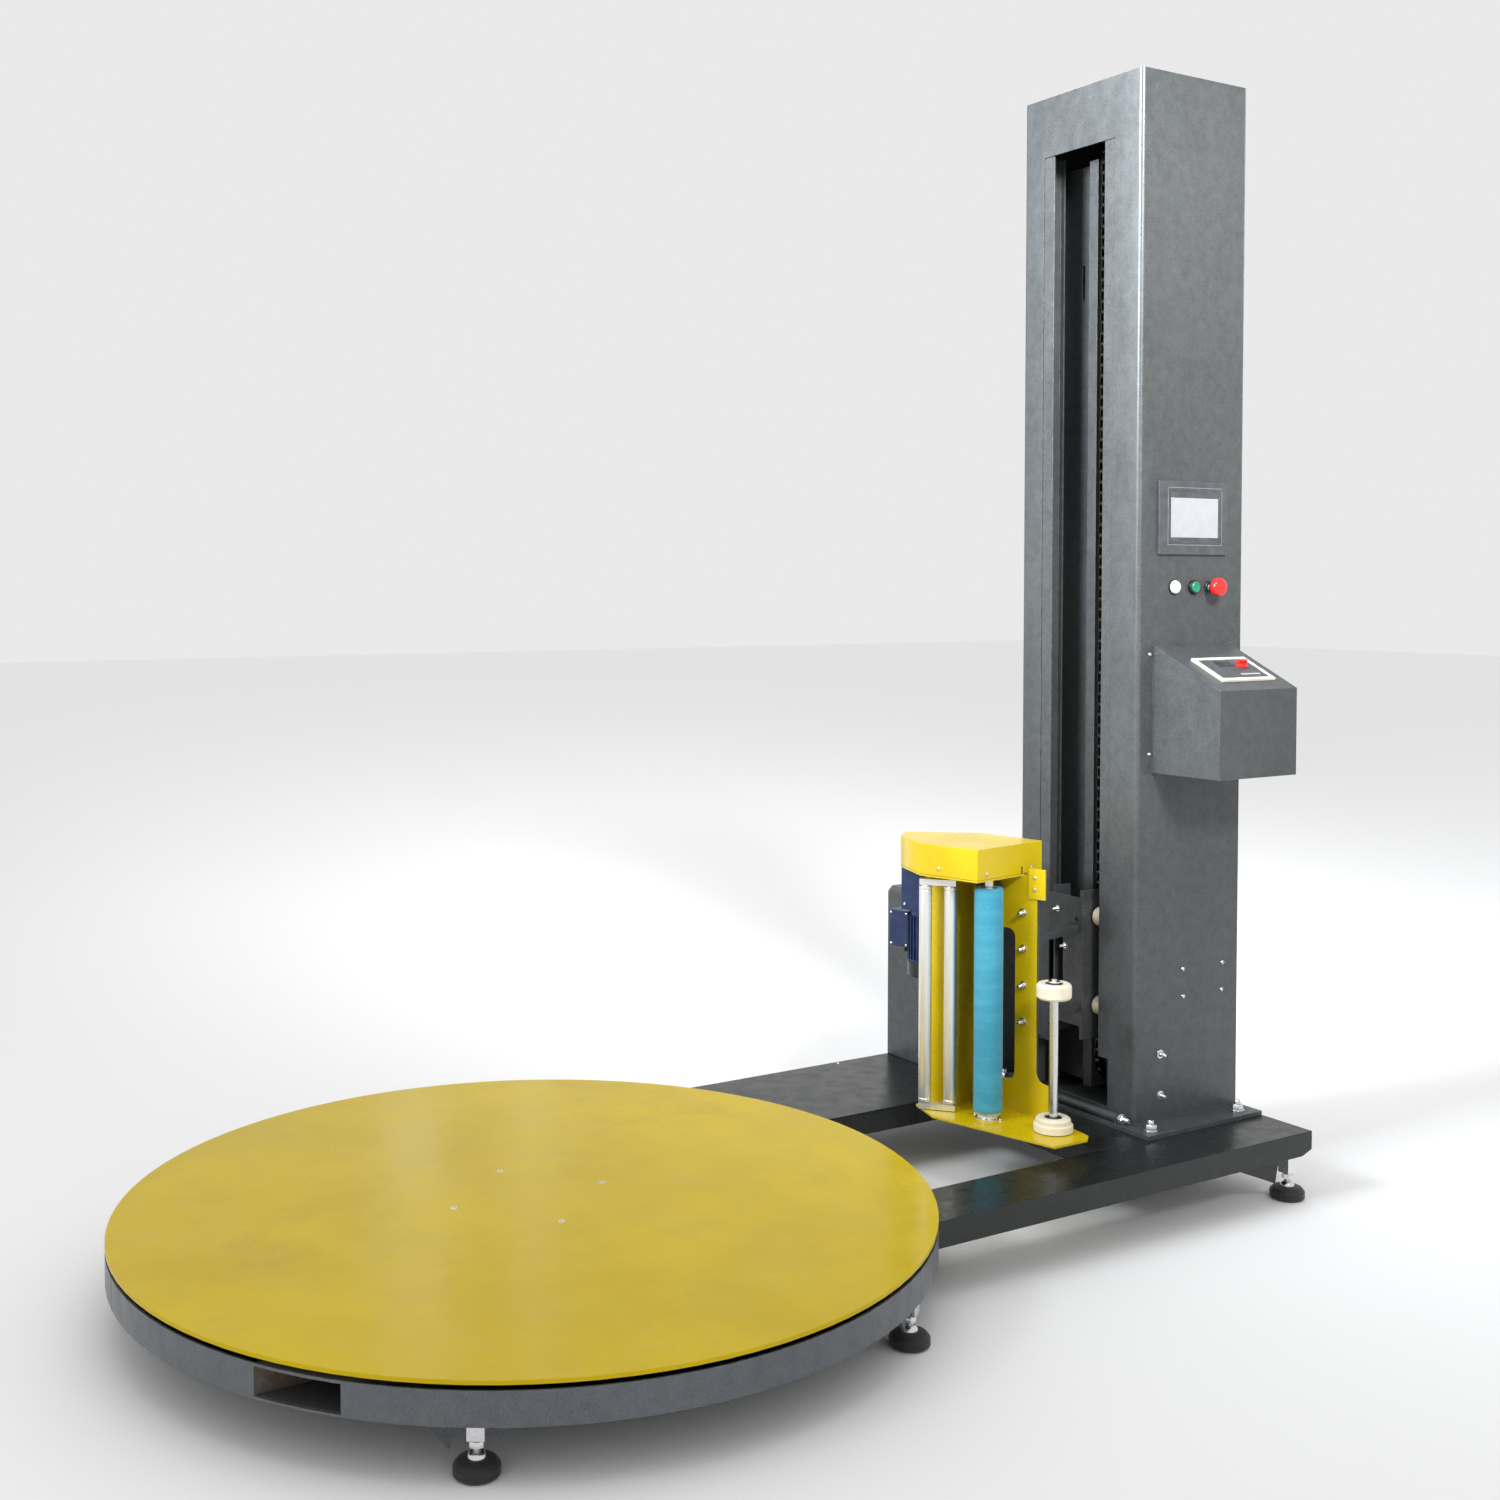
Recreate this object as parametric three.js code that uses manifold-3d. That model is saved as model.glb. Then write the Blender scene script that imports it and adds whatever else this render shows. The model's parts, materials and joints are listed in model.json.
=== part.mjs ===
// Turntable pallet wrapper: a round turntable on a low frame, a mast with the operator's panel,
// and a film carriage that climbs the mast. Millimetres, +Z up. +X runs from the turntable to the
// mast and the operator's panel faces -Y. The origin is on the floor, below the middle of the whole
// machine, so the turntable's own axis stands at x = -TABLE_OFFSET.
import * as THREE from 'three';
import { mergeVertices } from 'three/addons/utils/BufferGeometryUtils.js';
import Module from 'manifold-3d';

const wasm = await Module();
wasm.setup();

// ---------------------------------------------------------------- driving dimensions

const GAP = 0.3;                 // clearance between pieces that touch
const TABLE_OFFSET = 465;        // machine origin to turntable axis; other x values count from that axis

const TABLE = { radius: 825, top: 176, thickness: 8, screwRing: 163, screwTurn: 86, screwRadius: 7 };
const PAN = { bottom: 100, thickness: 5, wall: 5, rim: 159 };     // round base under the turntable
const BEAM = { top: 160, wall: 5, start: 560, end: 1755 };        // two long frame beams
const NEAR_BEAM = { y0: -516, y1: -362 };
const FAR_BEAM = { y0: 130, y1: 516, sheet: 4, innerWallStart: 840 };
const POCKET = { y0: 421, y1: 554, depth: 290, wall: 4 };         // hollow pockets in the base's rim
const CROSS = { x0: 1229, plate: 8, ribBottom: 112, ribWidth: 60 };

const FOOT = { block: 30, blockBottom: 60, padRadius: 39, padHeight: 30, studRadius: 8, nut: 13 };
const FOOT_POSITIONS = [[-420, -652], [470, -640], [470, 640], [-420, 652], [1715, -480], [1715, 480]];
const GUSSET = { thickness: 6, near: 30, ringReach: 98, beamReach: 205, deepTip: 42, shallowTip: 66 };

const ROLLER = { count: 6, circle: 650, radius: 25, width: 36, pin: 8 };        // under the disc
const CHAIN = { pitch: 25.4, width: 20, thickness: 16, level: 143 };
const TABLE_SPROCKET_TEETH = 27;
const DRIVE_SPROCKET_TEETH = 13;
const DRIVE = { x: 1480, y: 420 };                                 // turntable gearmotor's shaft
const DRIVE_COVER = { x0: 1330, x1: 1640, y0: 216, y1: 516, height: 453, bevel: 14, sheet: 3 };

const MAST = { x0: 1413, x1: 1755, y: -100, halfWidth: 193.5, top: 2597, sheet: 4 };
const MAST_FOOT = { x0: 1375, halfWidth: 275, thickness: 10 };
const MAST_CORNER = { radius: 11, steps: 4 };
const SLOT = { y: -92, halfWidth: 117, mouth: 83, bottom: 190, top: 2455 };   // opening in the mast's front
const RAIL = { depth: 54, sheet: 4, rearLip: 12, setback: 2, bottom: 302, top: 2454 };
const PARTITION = { frontX: 1485, panelX: 1520, edge0: -84, edge1: -56, sheet: 3, bottom: 195, top: 2440 };
const SIGHT_SLOT = { y: -3, z: 2159, halfWidth: 4, halfHeight: 43 };
const LIFT = { x: 1542, y: -97, lower: 262, upper: 2520, teeth: 11 };

const PANEL_Y = MAST.y - MAST.halfWidth;                            // the mast's side toward the operator
const HMI = { x0: 1470, x1: 1696, z0: 1490, z1: 1660, proud: 7, depth: 40 };
const SCREEN = { x0: 1508, x1: 1666, z0: 1529, z1: 1622, recess: 2 };
const BUTTONS_Z = 1414;
const LAMP_X = 1526;
const START_X = 1590;
const STOP_X = 1643;
const BUTTON_HOLE = 11.2;
const CONSOLE = {
  x0: 1458, x1: 1712, depth: 200, bottom: 985, front: 1184, back: 1282, sheet: 3, flange: 19,
};
const SLOPE_PANEL = { width: 174, depth: 104, x: 1591, down: 133, thickness: 6 };
const KNOB = { across: 36, up: 12 };                               // from the middle of that panel

const CARRIAGE = { x: 1396, sheet: 6, y0: -141, y1: 0, z0: 336, z1: 692, flangeDepth: 52 };
const WHEEL = { x: 1442, radius: 22.5, inner: 56, outer: 107, low: 416, high: 629, axle: 7 };
const HEAD = { x: 1205, y: -154, turn: 15.5, floor: 195, roof: 746 };  // film head, turned on the carriage
const HEAD_SHEET = 4;
const COVER_HEIGHT = 71;
const DRIVE_ROLLER = { x: -92, y: 42, radius: 32.5, teeth: 11 };
const IDLE_ROLLER = { bearing: 32.5, radius: 30, teeth: 43 };   // bearing: direction from drive roller
const GEAR = { module: 2.5, thickness: 12 };
const DANCER = { pivotX: -110, pivotY: 134, endX: -135, endY: 187, rollerRadius: 15, bar: 14 };
const MANDREL = { x: -75, y: -119, rod: 10, base: 44, core: 39, capBottom: 494, capTop: 529 };

const PAINT_GREY = { color: 0x5b6166, roughness: 0.42, metalness: 0.35 };
const PAINT_DARK = { color: 0x3b3e40, roughness: 0.3, metalness: 0.3 };
const PAINT_YELLOW = { color: 0xd9c42c, roughness: 0.22, metalness: 0.0 };
const STEEL = { color: 0xb9bcc0, roughness: 0.3, metalness: 1.0 };
const CHAIN_STEEL = { color: 0x2a2825, roughness: 0.45, metalness: 0.9 };
const ALUMINIUM = { color: 0xdcdfe2, roughness: 0.35, metalness: 0.9 };
const NYLON = { color: 0xe8dfc8, roughness: 0.5, metalness: 0.0 };
const BLUE_RUBBER = { color: 0x3fa7c6, roughness: 0.6, metalness: 0.0 };
const BLACK_RUBBER = { color: 0x141416, roughness: 0.6, metalness: 0.0 };
const MOTOR_BLUE = { color: 0x24386b, roughness: 0.4, metalness: 0.1 };
const BLACK_PLASTIC = { color: 0x1b1c1e, roughness: 0.45, metalness: 0.0 };
const GREY_PLASTIC = { color: 0x4b4e52, roughness: 0.5, metalness: 0.0 };
const SCREEN_GLASS = { color: 0xb9bcc2, roughness: 0.1, metalness: 0.0 };
const WHITE_LENS = { color: 0xf4f4f2, roughness: 0.2, metalness: 0.0 };
const GREEN_PLASTIC = { color: 0x0f8f5c, roughness: 0.3, metalness: 0.0 };
const RED_PLASTIC = { color: 0xd32420, roughness: 0.3, metalness: 0.0 };
const CREAM_PLASTIC = { color: 0xe6e2d3, roughness: 0.4, metalness: 0.0 };

// ---------------------------------------------------------------- shape helpers

const degrees = (value) => THREE.MathUtils.degToRad(value);

// A block between two values on each axis.
function block(x0, x1, y0, y1, z0, z1) {
  const geometry = new THREE.BoxGeometry(x1 - x0, y1 - y0, z1 - z0);
  return geometry.translate((x0 + x1) / 2, (y0 + y1) / 2, (z0 + z1) / 2);
}

// A round bar along one axis; a and b are its other two coordinates, in x, y, z order.
function bar(axis, radius, from, to, a, b, sides = 24) {
  const geometry = new THREE.CylinderGeometry(radius, radius, to - from, sides);
  const middle = (from + to) / 2;
  if (axis === 'x') return geometry.rotateZ(Math.PI / 2).translate(middle, a, b);
  if (axis === 'y') return geometry.translate(a, middle, b);
  return geometry.rotateX(Math.PI / 2).translate(a, b, middle);
}

// A flat outline, given as [x, y] points, extruded upward from z0 to z1.
function prism(points, z0, z1) {
  const shape = new THREE.Shape(points.map(([x, y]) => new THREE.Vector2(x, y)));
  const geometry = new THREE.ExtrudeGeometry(shape, { depth: z1 - z0, bevelEnabled: false });
  return geometry.translate(0, 0, z0);
}

// An outline in the x-z plane, given as [x, z] points, extruded from y0 to y1.
function sideProfile(points, y0, y1) {
  const flat = prism(points, -y1, -y0);
  return flat.rotateX(Math.PI / 2);
}

// A round piece about +Z, from [radius, z] points that start and end on the axis.
function turned(points, sides = 24) {
  const profile = points.map(([radius, z]) => new THREE.Vector2(radius, z));
  return new THREE.LatheGeometry(profile, sides).rotateX(Math.PI / 2);
}

// The same, about an axis pointing toward the operator (-Y), with z measured along it.
function turnedToOperator(points, x, y, z, sides = 20) {
  return turned(points, sides).rotateX(Math.PI / 2).translate(x, y, z);
}

// A slot with round ends in the y-z plane, cut through along x.
function uprightSlot(x0, x1, y, z, halfWidth, halfHeight) {
  const shape = new THREE.Shape();
  const straight = halfHeight - halfWidth;
  shape.absarc(0, straight, halfWidth, 0, Math.PI, false);
  shape.absarc(0, -straight, halfWidth, Math.PI, 2 * Math.PI, false);
  const options = { depth: x1 - x0, bevelEnabled: false, curveSegments: 6 };
  const geometry = new THREE.ExtrudeGeometry(shape, options);
  return geometry.rotateX(Math.PI / 2).rotateZ(Math.PI / 2).translate(x0, y, z);
}

// A rectangle with round corners in the y-z plane, cut through along x.
function roundedWindow(x0, x1, y0, y1, z0, z1, radius) {
  const shape = new THREE.Shape();
  shape.absarc(y1 - radius, z1 - radius, radius, 0, Math.PI / 2, false);
  shape.absarc(y0 + radius, z1 - radius, radius, Math.PI / 2, Math.PI, false);
  shape.absarc(y0 + radius, z0 + radius, radius, Math.PI, 1.5 * Math.PI, false);
  shape.absarc(y1 - radius, z0 + radius, radius, 1.5 * Math.PI, 2 * Math.PI, false);
  const options = { depth: x1 - x0, bevelEnabled: false, curveSegments: 5 };
  const geometry = new THREE.ExtrudeGeometry(shape, options);
  return geometry.rotateX(Math.PI / 2).rotateZ(Math.PI / 2).translate(x0, 0, 0);
}

// A toothed wheel about +Z with straight-sided teeth.
function toothed(teeth, rootRadius, tipRadius, z0, z1, phase = 0, rootShare = 0.31, tipShare = 0.15) {
  const step = 2 * Math.PI / teeth;
  const corners = [[-rootShare, rootRadius], [-tipShare, tipRadius], [tipShare, tipRadius],
    [rootShare, rootRadius]];
  const points = [];
  for (let tooth = 0; tooth < teeth; tooth += 1) {
    for (const [share, radius] of corners) {
      const angle = phase + (tooth + share) * step;
      points.push([radius * Math.cos(angle), radius * Math.sin(angle)]);
    }
  }
  return prism(points, z0, z1);
}

// ---------------------------------------------------------------- joining and cutting

// A closed solid from a geometry: positions only, shared vertices merged, empty triangles left out.
function solid(shape) {
  if (!shape.isBufferGeometry) return shape;
  const bare = shape.clone();
  bare.deleteAttribute('normal');
  bare.deleteAttribute('uv');
  const merged = mergeVertices(bare, 1e-3);
  const index = merged.index.array;
  const triangles = [];
  for (let i = 0; i < index.length; i += 3) {
    const [a, b, c] = [index[i], index[i + 1], index[i + 2]];
    if (a !== b && b !== c && c !== a) triangles.push(a, b, c);
  }
  const mesh = new wasm.Mesh({
    numProp: 3,
    vertProperties: new Float32Array(merged.attributes.position.array),
    triVerts: new Uint32Array(triangles),
  });
  return new wasm.Manifold(mesh);
}

function join(first, ...others) {
  return others.reduce((whole, other) => whole.add(solid(other)), solid(first));
}

function cut(body, ...tools) {
  return tools.reduce((whole, tool) => whole.subtract(solid(tool)), solid(body));
}

function geometryOf(shape) {
  const mesh = solid(shape).getMesh();
  const geometry = new THREE.BufferGeometry();
  geometry.setAttribute('position', new THREE.BufferAttribute(new Float32Array(mesh.vertProperties), 3));
  geometry.setIndex(new THREE.BufferAttribute(new Uint32Array(mesh.triVerts), 1));
  return geometry;
}

function addPart(parent, name, shape, finish) {
  const geometry = geometryOf(shape);
  geometry.computeVertexNormals();
  const mesh = new THREE.Mesh(geometry, new THREE.MeshStandardMaterial(finish));
  mesh.name = name;
  parent.add(mesh);
}

// ---------------------------------------------------------------- base frame

const panTop = PAN.bottom + PAN.thickness;
const beamBottom = panTop + GAP;

// Two triangular plates under the frame, one each side of a foot.
function gussets(x, y, top, turn, reach) {
  const { near, thickness, deepTip, shallowTip } = GUSSET;
  const half = thickness / 2;
  const deep = sideProfile([[-near, top], [-near - 14, deepTip], [-reach, top]], -half, half);
  const shallow = sideProfile([[near, top], [near + 6, shallowTip], [reach, top]], -half, half);
  return [deep, shallow].map((shape) => shape.rotateZ(turn).translate(x, y, 0));
}

// Two cheeks and a pin, standing on the pan, that carry one support roller; its axis is radial.
const rollerLevel = TABLE.top - TABLE.thickness - GAP - ROLLER.radius;

function rollerFork(angle) {
  const half = ROLLER.width / 2 + 1.5;
  const cheek = 6;
  const low = ROLLER.circle - half - cheek;
  const high = ROLLER.circle + half + cheek;
  const inner = block(low, low + cheek, -18, 18, panTop - 1, rollerLevel + 12);
  const outer = block(high - cheek, high, -18, 18, panTop - 1, rollerLevel + 12);
  const pin = bar('x', ROLLER.pin, low - 4, high + 4, 0, rollerLevel, 8);
  return [inner, outer, pin].map((shape) => shape.rotateZ(angle));
}

function buildBasePlate(parent) {
  const plate = bar('z', TABLE.radius - PAN.wall - GAP, PAN.bottom, panTop, 0, 0, 96);
  const housing = bar('z', 90, panTop - 1, 131, 0, 0, 32);
  let body = join(plate, housing);
  for (let i = 0; i < ROLLER.count; i += 1) {
    body = join(body, ...rollerFork(i * 2 * Math.PI / ROLLER.count));
  }
  for (const [x, y] of FOOT_POSITIONS.slice(0, 4)) {
    const turn = Math.atan2(y, x) + Math.PI / 2;
    body = join(body, ...gussets(x, y, PAN.bottom + 1, turn, GUSSET.ringReach));
  }
  body = cut(body, bar('z', 41, panTop, 132, 0, 0, 32));
  addPart(parent, 'base_plate', body, PAINT_GREY);
}

function buildBaseRing(parent) {
  const outside = bar('z', TABLE.radius, PAN.bottom, PAN.rim, 0, 0, 96);
  const inside = bar('z', TABLE.radius - PAN.wall, PAN.bottom - 1, PAN.rim + 1, 0, 0, 96);
  let ring = cut(outside, inside);
  ring = cut(
    ring,
    block(400, 900, NEAR_BEAM.y0 - GAP, NEAR_BEAM.y1 + GAP, panTop, PAN.rim + 1),
    block(400, 900, FAR_BEAM.y0 - GAP, FAR_BEAM.y1 + GAP, panTop, PAN.rim + 1),
  );
  for (const side of [-1, 1]) {
    const [y0, y1] = [side * POCKET.y0, side * POCKET.y1].sort((a, b) => a - b);
    const z0 = panTop + GAP;
    const z1 = PAN.rim - 1;
    const end = -TABLE.radius + 110 + POCKET.depth;
    const box = block(-TABLE.radius, end, y0 - POCKET.wall, y1 + POCKET.wall, z0, z1);
    const tube = solid(box).intersect(solid(outside));
    const hollow = block(-TABLE.radius - 10, end + 1, y0, y1, z0 - 1, z1 - POCKET.wall);
    ring = cut(join(ring, tube), hollow);
  }
  addPart(parent, 'base_ring', ring, PAINT_GREY);
}

// The beam's rear end has its lower corner cut off.
function beamOutline() {
  return [[BEAM.start, beamBottom], [BEAM.end - 33, beamBottom], [BEAM.end, beamBottom + 12],
    [BEAM.end, BEAM.top], [BEAM.start, BEAM.top]];
}

function buildNearBeam(parent) {
  const w = BEAM.wall;
  const outer = sideProfile(beamOutline(), NEAR_BEAM.y0, NEAR_BEAM.y1);
  const [low, high] = [NEAR_BEAM.y0 + w, NEAR_BEAM.y1 - w];
  const hollow = block(BEAM.start - 1, BEAM.end - 45, low, high, beamBottom + w, BEAM.top - w);
  const [x, y] = FOOT_POSITIONS[4];
  const body = join(cut(outer, hollow), gussets(x, y, beamBottom + 1, 0, GUSSET.beamReach)[0]);
  addPart(parent, 'near_beam', body, PAINT_DARK);
}

// The far beam is a wide trough that the drive chain runs in, under a screwed cover.
function buildFarBeam(parent) {
  const s = FAR_BEAM.sheet;
  const outline = beamOutline().map(([x, z]) => [x, Math.min(z, BEAM.top - s - GAP)]);
  const outer = sideProfile(outline, FAR_BEAM.y0, FAR_BEAM.y1);
  const [low, high] = [FAR_BEAM.y0 + s, FAR_BEAM.y1 - s];
  const hollow = block(BEAM.start - 1, BEAM.end - 45, low, high, beamBottom + s, BEAM.top);
  const way = [FAR_BEAM.y0 - 1, FAR_BEAM.y0 + s + 1];
  const chainWay = block(BEAM.start - 1, FAR_BEAM.innerWallStart, ...way, beamBottom + s, BEAM.top);
  const [x, y] = FOOT_POSITIONS[5];
  const gusset = gussets(x, y, beamBottom + 1, 0, GUSSET.beamReach)[0];
  const body = join(cut(outer, hollow, chainWay), gusset);
  addPart(parent, 'far_beam', body, PAINT_DARK);
}

function buildChainCover(parent) {
  const plate = block(BEAM.start, BEAM.end, FAR_BEAM.y0, FAR_BEAM.y1, BEAM.top - FAR_BEAM.sheet, BEAM.top);
  const shaftHole = bar('z', 62, BEAM.top - 10, BEAM.top + 1, DRIVE.x, DRIVE.y, 32);
  addPart(parent, 'chain_cover', cut(plate, shaftHole), PAINT_DARK);
}

// Top plate on three ribs, between the two beams, that the mast stands on.
function buildCrossmember(parent) {
  const y0 = NEAR_BEAM.y1 + GAP;
  const y1 = FAR_BEAM.y0 - GAP;
  const plateBottom = BEAM.top - CROSS.plate;
  let body = solid(block(CROSS.x0, BEAM.end, y0, y1, plateBottom, BEAM.top));
  const ribs = 3;
  const travel = BEAM.end - CROSS.x0 - CROSS.ribWidth;
  for (let i = 0; i < ribs; i += 1) {
    const x = CROSS.x0 + travel * i / (ribs - 1);
    body = join(body, block(x, x + CROSS.ribWidth, y0, y1, CROSS.ribBottom, plateBottom + 1));
  }
  addPart(parent, 'rear_crossmember', body, PAINT_DARK);
}

// Rubber pad, ball seat, lock nut, stud, and the square steel block that the stud screws into.
function buildFeet(parent) {
  const { block: width, blockBottom, padRadius, padHeight, studRadius } = FOOT;
  const profile = [[0, 0], [padRadius - 5, 0], [padRadius, 5], [padRadius, 19], [padRadius - 6, 26],
    [20, padHeight], [12, padHeight], [studRadius, padHeight + 5], [studRadius, blockBottom + 1],
    [0, blockBottom + 1]];
  FOOT_POSITIONS.forEach(([x, y], i) => {
    const onRing = i < 4;
    const top = (onRing ? PAN.bottom : beamBottom) - GAP;
    const turn = onRing ? Math.atan2(y, x) + Math.PI / 2 : 0;
    const half = width / 2;
    const nut = bar('z', FOOT.nut, blockBottom - 13, blockBottom - 2, 0, 0, 6);
    const socket = block(-half, half, -half, half, blockBottom, top);
    const foot = geometryOf(join(turned(profile, 20), nut, socket)).rotateZ(turn).translate(x, y, 0);
    addPart(parent, `levelling_foot_${i + 1}`, foot, BLACK_RUBBER);
  });
}

// ---------------------------------------------------------------- turntable and its drive

const pitchRadius = (teeth) => CHAIN.pitch / (2 * Math.sin(Math.PI / teeth));

function buildTurntable(parent) {
  let disc = solid(bar('z', TABLE.radius, TABLE.top - TABLE.thickness, TABLE.top, 0, 0, 96));
  for (let i = 0; i < 4; i += 1) {
    const seat = bar('z', TABLE.screwRadius, TABLE.top - 4, TABLE.top + 1, TABLE.screwRing, 0, 12);
    disc = cut(disc, seat.rotateZ(degrees(TABLE.screwTurn + 90 * i)));
  }
  addPart(parent, 'turntable_disc', disc, PAINT_YELLOW);

  const tip = pitchRadius(TABLE_SPROCKET_TEETH) - CHAIN.thickness / 2 - GAP;
  const underside = TABLE.top - TABLE.thickness - GAP;
  const hub = turned([[0, 112], [40, 112], [40, 135], [60, 135], [60, 158], [190, 158],
    [190, underside], [0, underside]], 36);
  const wheel = toothed(TABLE_SPROCKET_TEETH, tip - 10, tip, CHAIN.level - 6, CHAIN.level + 6);
  addPart(parent, 'turntable_sprocket', join(hub, wheel), STEEL);
}

function buildSupportRollers(parent) {
  for (let i = 0; i < ROLLER.count; i += 1) {
    const from = ROLLER.circle - ROLLER.width / 2;
    const to = ROLLER.circle + ROLLER.width / 2;
    const tyre = bar('x', ROLLER.radius, from, to, 0, rollerLevel, 24);
    const bore = bar('x', ROLLER.pin + GAP, from - 1, to + 1, 0, rollerLevel, 12);
    const turn = i * 2 * Math.PI / ROLLER.count;
    const roller = cut(tyre.rotateZ(turn), bore.rotateZ(turn));
    addPart(parent, `support_roller_${i + 1}`, roller, NYLON);
  }
}

// The loop of an open belt or chain round two wheels in the x-y plane, offset outward by "grow".
function chainLoop(ax, ay, radiusA, bx, by, radiusB, grow) {
  const distance = Math.hypot(bx - ax, by - ay);
  const heading = Math.atan2(by - ay, bx - ax);
  const lean = Math.acos((radiusA - radiusB) / distance);
  const points = [];
  const addArc = (cx, cy, radius, from, to, steps) => {
    for (let i = 0; i <= steps; i += 1) {
      const angle = from + (to - from) * i / steps;
      points.push([cx + (radius + grow) * Math.cos(angle), cy + (radius + grow) * Math.sin(angle)]);
    }
  };
  addArc(ax, ay, radiusA, heading + lean, heading + 2 * Math.PI - lean, 28);
  addArc(bx, by, radiusB, heading - lean, heading + lean, 14);
  return points;
}

function chainSolid(ax, ay, radiusA, bx, by, radiusB, z0, z1) {
  const half = CHAIN.thickness / 2;
  const outer = prism(chainLoop(ax, ay, radiusA, bx, by, radiusB, half), z0, z1);
  const inner = prism(chainLoop(ax, ay, radiusA, bx, by, radiusB, -half), z0 - 1, z1 + 1);
  return cut(outer, inner);
}

function buildTableDrive(parent) {
  const big = pitchRadius(TABLE_SPROCKET_TEETH);
  const small = pitchRadius(DRIVE_SPROCKET_TEETH);
  const z0 = CHAIN.level - CHAIN.width / 2;
  const z1 = CHAIN.level + CHAIN.width / 2;
  addPart(parent, 'drive_chain', chainSolid(0, 0, big, DRIVE.x, DRIVE.y, small, z0, z1), CHAIN_STEEL);

  const tip = small - CHAIN.thickness / 2 - GAP;
  const wheel = toothed(DRIVE_SPROCKET_TEETH, tip - 9, tip, CHAIN.level - 6, CHAIN.level + 6);
  const hub = bar('z', 26, CHAIN.level - 14, CHAIN.level + 14, 0, 0, 20);
  const bore = bar('z', 15 + GAP, 100, 170, 0, 0, 16);
  const sprocket = geometryOf(cut(join(wheel, hub), bore)).translate(DRIVE.x, DRIVE.y, 0);
  addPart(parent, 'drive_sprocket', sprocket, STEEL);

  const seat = BEAM.top + GAP;
  const gearbox = block(DRIVE.x - 75, DRIVE.x + 75, DRIVE.y - 75, DRIVE.y + 75, seat, seat + 110);
  const motor = bar('z', 68, seat + 109, seat + 340, DRIVE.x, DRIVE.y, 28);
  const fanCover = bar('z', 62, seat + 339, seat + 395, DRIVE.x, DRIVE.y, 28);
  const { x, y } = DRIVE;
  const terminalBox = block(x - 50, x + 50, y - 125, y - 60, seat + 180, seat + 280);
  const shaft = bar('z', 15, CHAIN.level - 16, seat + 1, DRIVE.x, DRIVE.y, 16);
  addPart(parent, 'turntable_gearmotor', join(gearbox, motor, fanCover, terminalBox, shaft), MOTOR_BLUE);
}

function buildDriveCover(parent) {
  const c = DRIVE_COVER;
  const z0 = BEAM.top + GAP;
  const z1 = z0 + c.height;
  const top = z1 - c.bevel;
  const s = c.sheet;
  const outline = [[c.x0, z0], [c.x1, z0], [c.x1, top], [c.x1 - c.bevel, z1], [c.x0 + c.bevel, z1],
    [c.x0, top]];
  const hollow = block(c.x0 + s, c.x1 - s, c.y0 + s, c.y1 - s, z0 - 1, top - s);
  addPart(parent, 'drive_cover', cut(sideProfile(outline, c.y0, c.y1), hollow), PAINT_GREY);
}

// ---------------------------------------------------------------- mast

const footTop = BEAM.top + GAP + MAST_FOOT.thickness;

// A rectangle whose two front corners are rounded, as an [x, y] outline.
function roundedFront(x0, x1, y0, y1, radius) {
  const points = [[x1, y0], [x1, y1]];
  for (const [cy, from] of [[y1 - radius, Math.PI / 2], [y0 + radius, Math.PI]]) {
    for (let i = 0; i <= MAST_CORNER.steps; i += 1) {
      const angle = from + (Math.PI / 2) * i / MAST_CORNER.steps;
      points.push([x0 + radius + radius * Math.cos(angle), cy + radius * Math.sin(angle)]);
    }
  }
  return points;
}

function mastShell() {
  const { x0, x1, y, halfWidth, sheet, top } = MAST;
  const rear = x1 - 3 - GAP;
  const near = y - halfWidth;
  const far = y + halfWidth;
  const outline = roundedFront(x0, rear, near, far, MAST_CORNER.radius);
  const inset = roundedFront(x0 + sheet, rear + 1, near + sheet, far - sheet, MAST_CORNER.radius - sheet);
  const shell = prism(outline, footTop - 1, top);
  const inside = prism(inset, footTop - 2, top - sheet);
  const [low, high] = [SLOT.y - SLOT.halfWidth, SLOT.y + SLOT.halfWidth];
  const opening = block(x0 - 1, x0 + sheet + 1, low, high, SLOT.bottom, SLOT.top);
  const reach = MAST_FOOT.halfWidth;
  const foot = block(MAST_FOOT.x0, rear, y - reach, y + reach, BEAM.top + GAP, footTop);
  const returns = [low - sheet, high].map((edge) => (
    block(x0 + 1, x0 + 24, edge, edge + sheet, SLOT.bottom, SLOT.top)
  ));
  return join(cut(shell, inside, opening), foot, ...returns);
}

// A folded sheet inside the mast: a narrow bright edge strip beside the chain, then a set-back panel
// with a sight slot near its top.
function partition() {
  const { frontX, panelX, edge0, edge1, sheet, bottom, top } = PARTITION;
  const wall = MAST.y + MAST.halfWidth - MAST.sheet + 1;
  const outline = [[frontX, edge0], [frontX + 60, edge0], [frontX + 60, edge0 + sheet],
    [frontX + sheet, edge0 + sheet], [frontX + sheet, edge1 - sheet], [panelX + sheet, edge1 - sheet],
    [panelX + sheet, wall], [panelX, wall], [panelX, edge1], [frontX, edge1]];
  const { y, z, halfWidth, halfHeight } = SIGHT_SLOT;
  const sightSlot = uprightSlot(panelX - 1, panelX + sheet + 1, y, z, halfWidth, halfHeight);
  return cut(prism(outline, bottom, top), sightSlot);
}

// A round bar across the mast's foot, held by a lug at each end, that stops the carriage.
function stopBar() {
  const x = MAST_FOOT.x0 + 14;
  const z = footTop + 12;
  const [low, high] = [MAST.y - 175, MAST.y + 175];
  const lug = (y) => block(x - 9, x + 9, y - 4, y + 4, footTop - 1, z + 8);
  return [bar('y', 10, low, high, x, z), lug(low + 8), lug(high - 8)];
}

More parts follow.
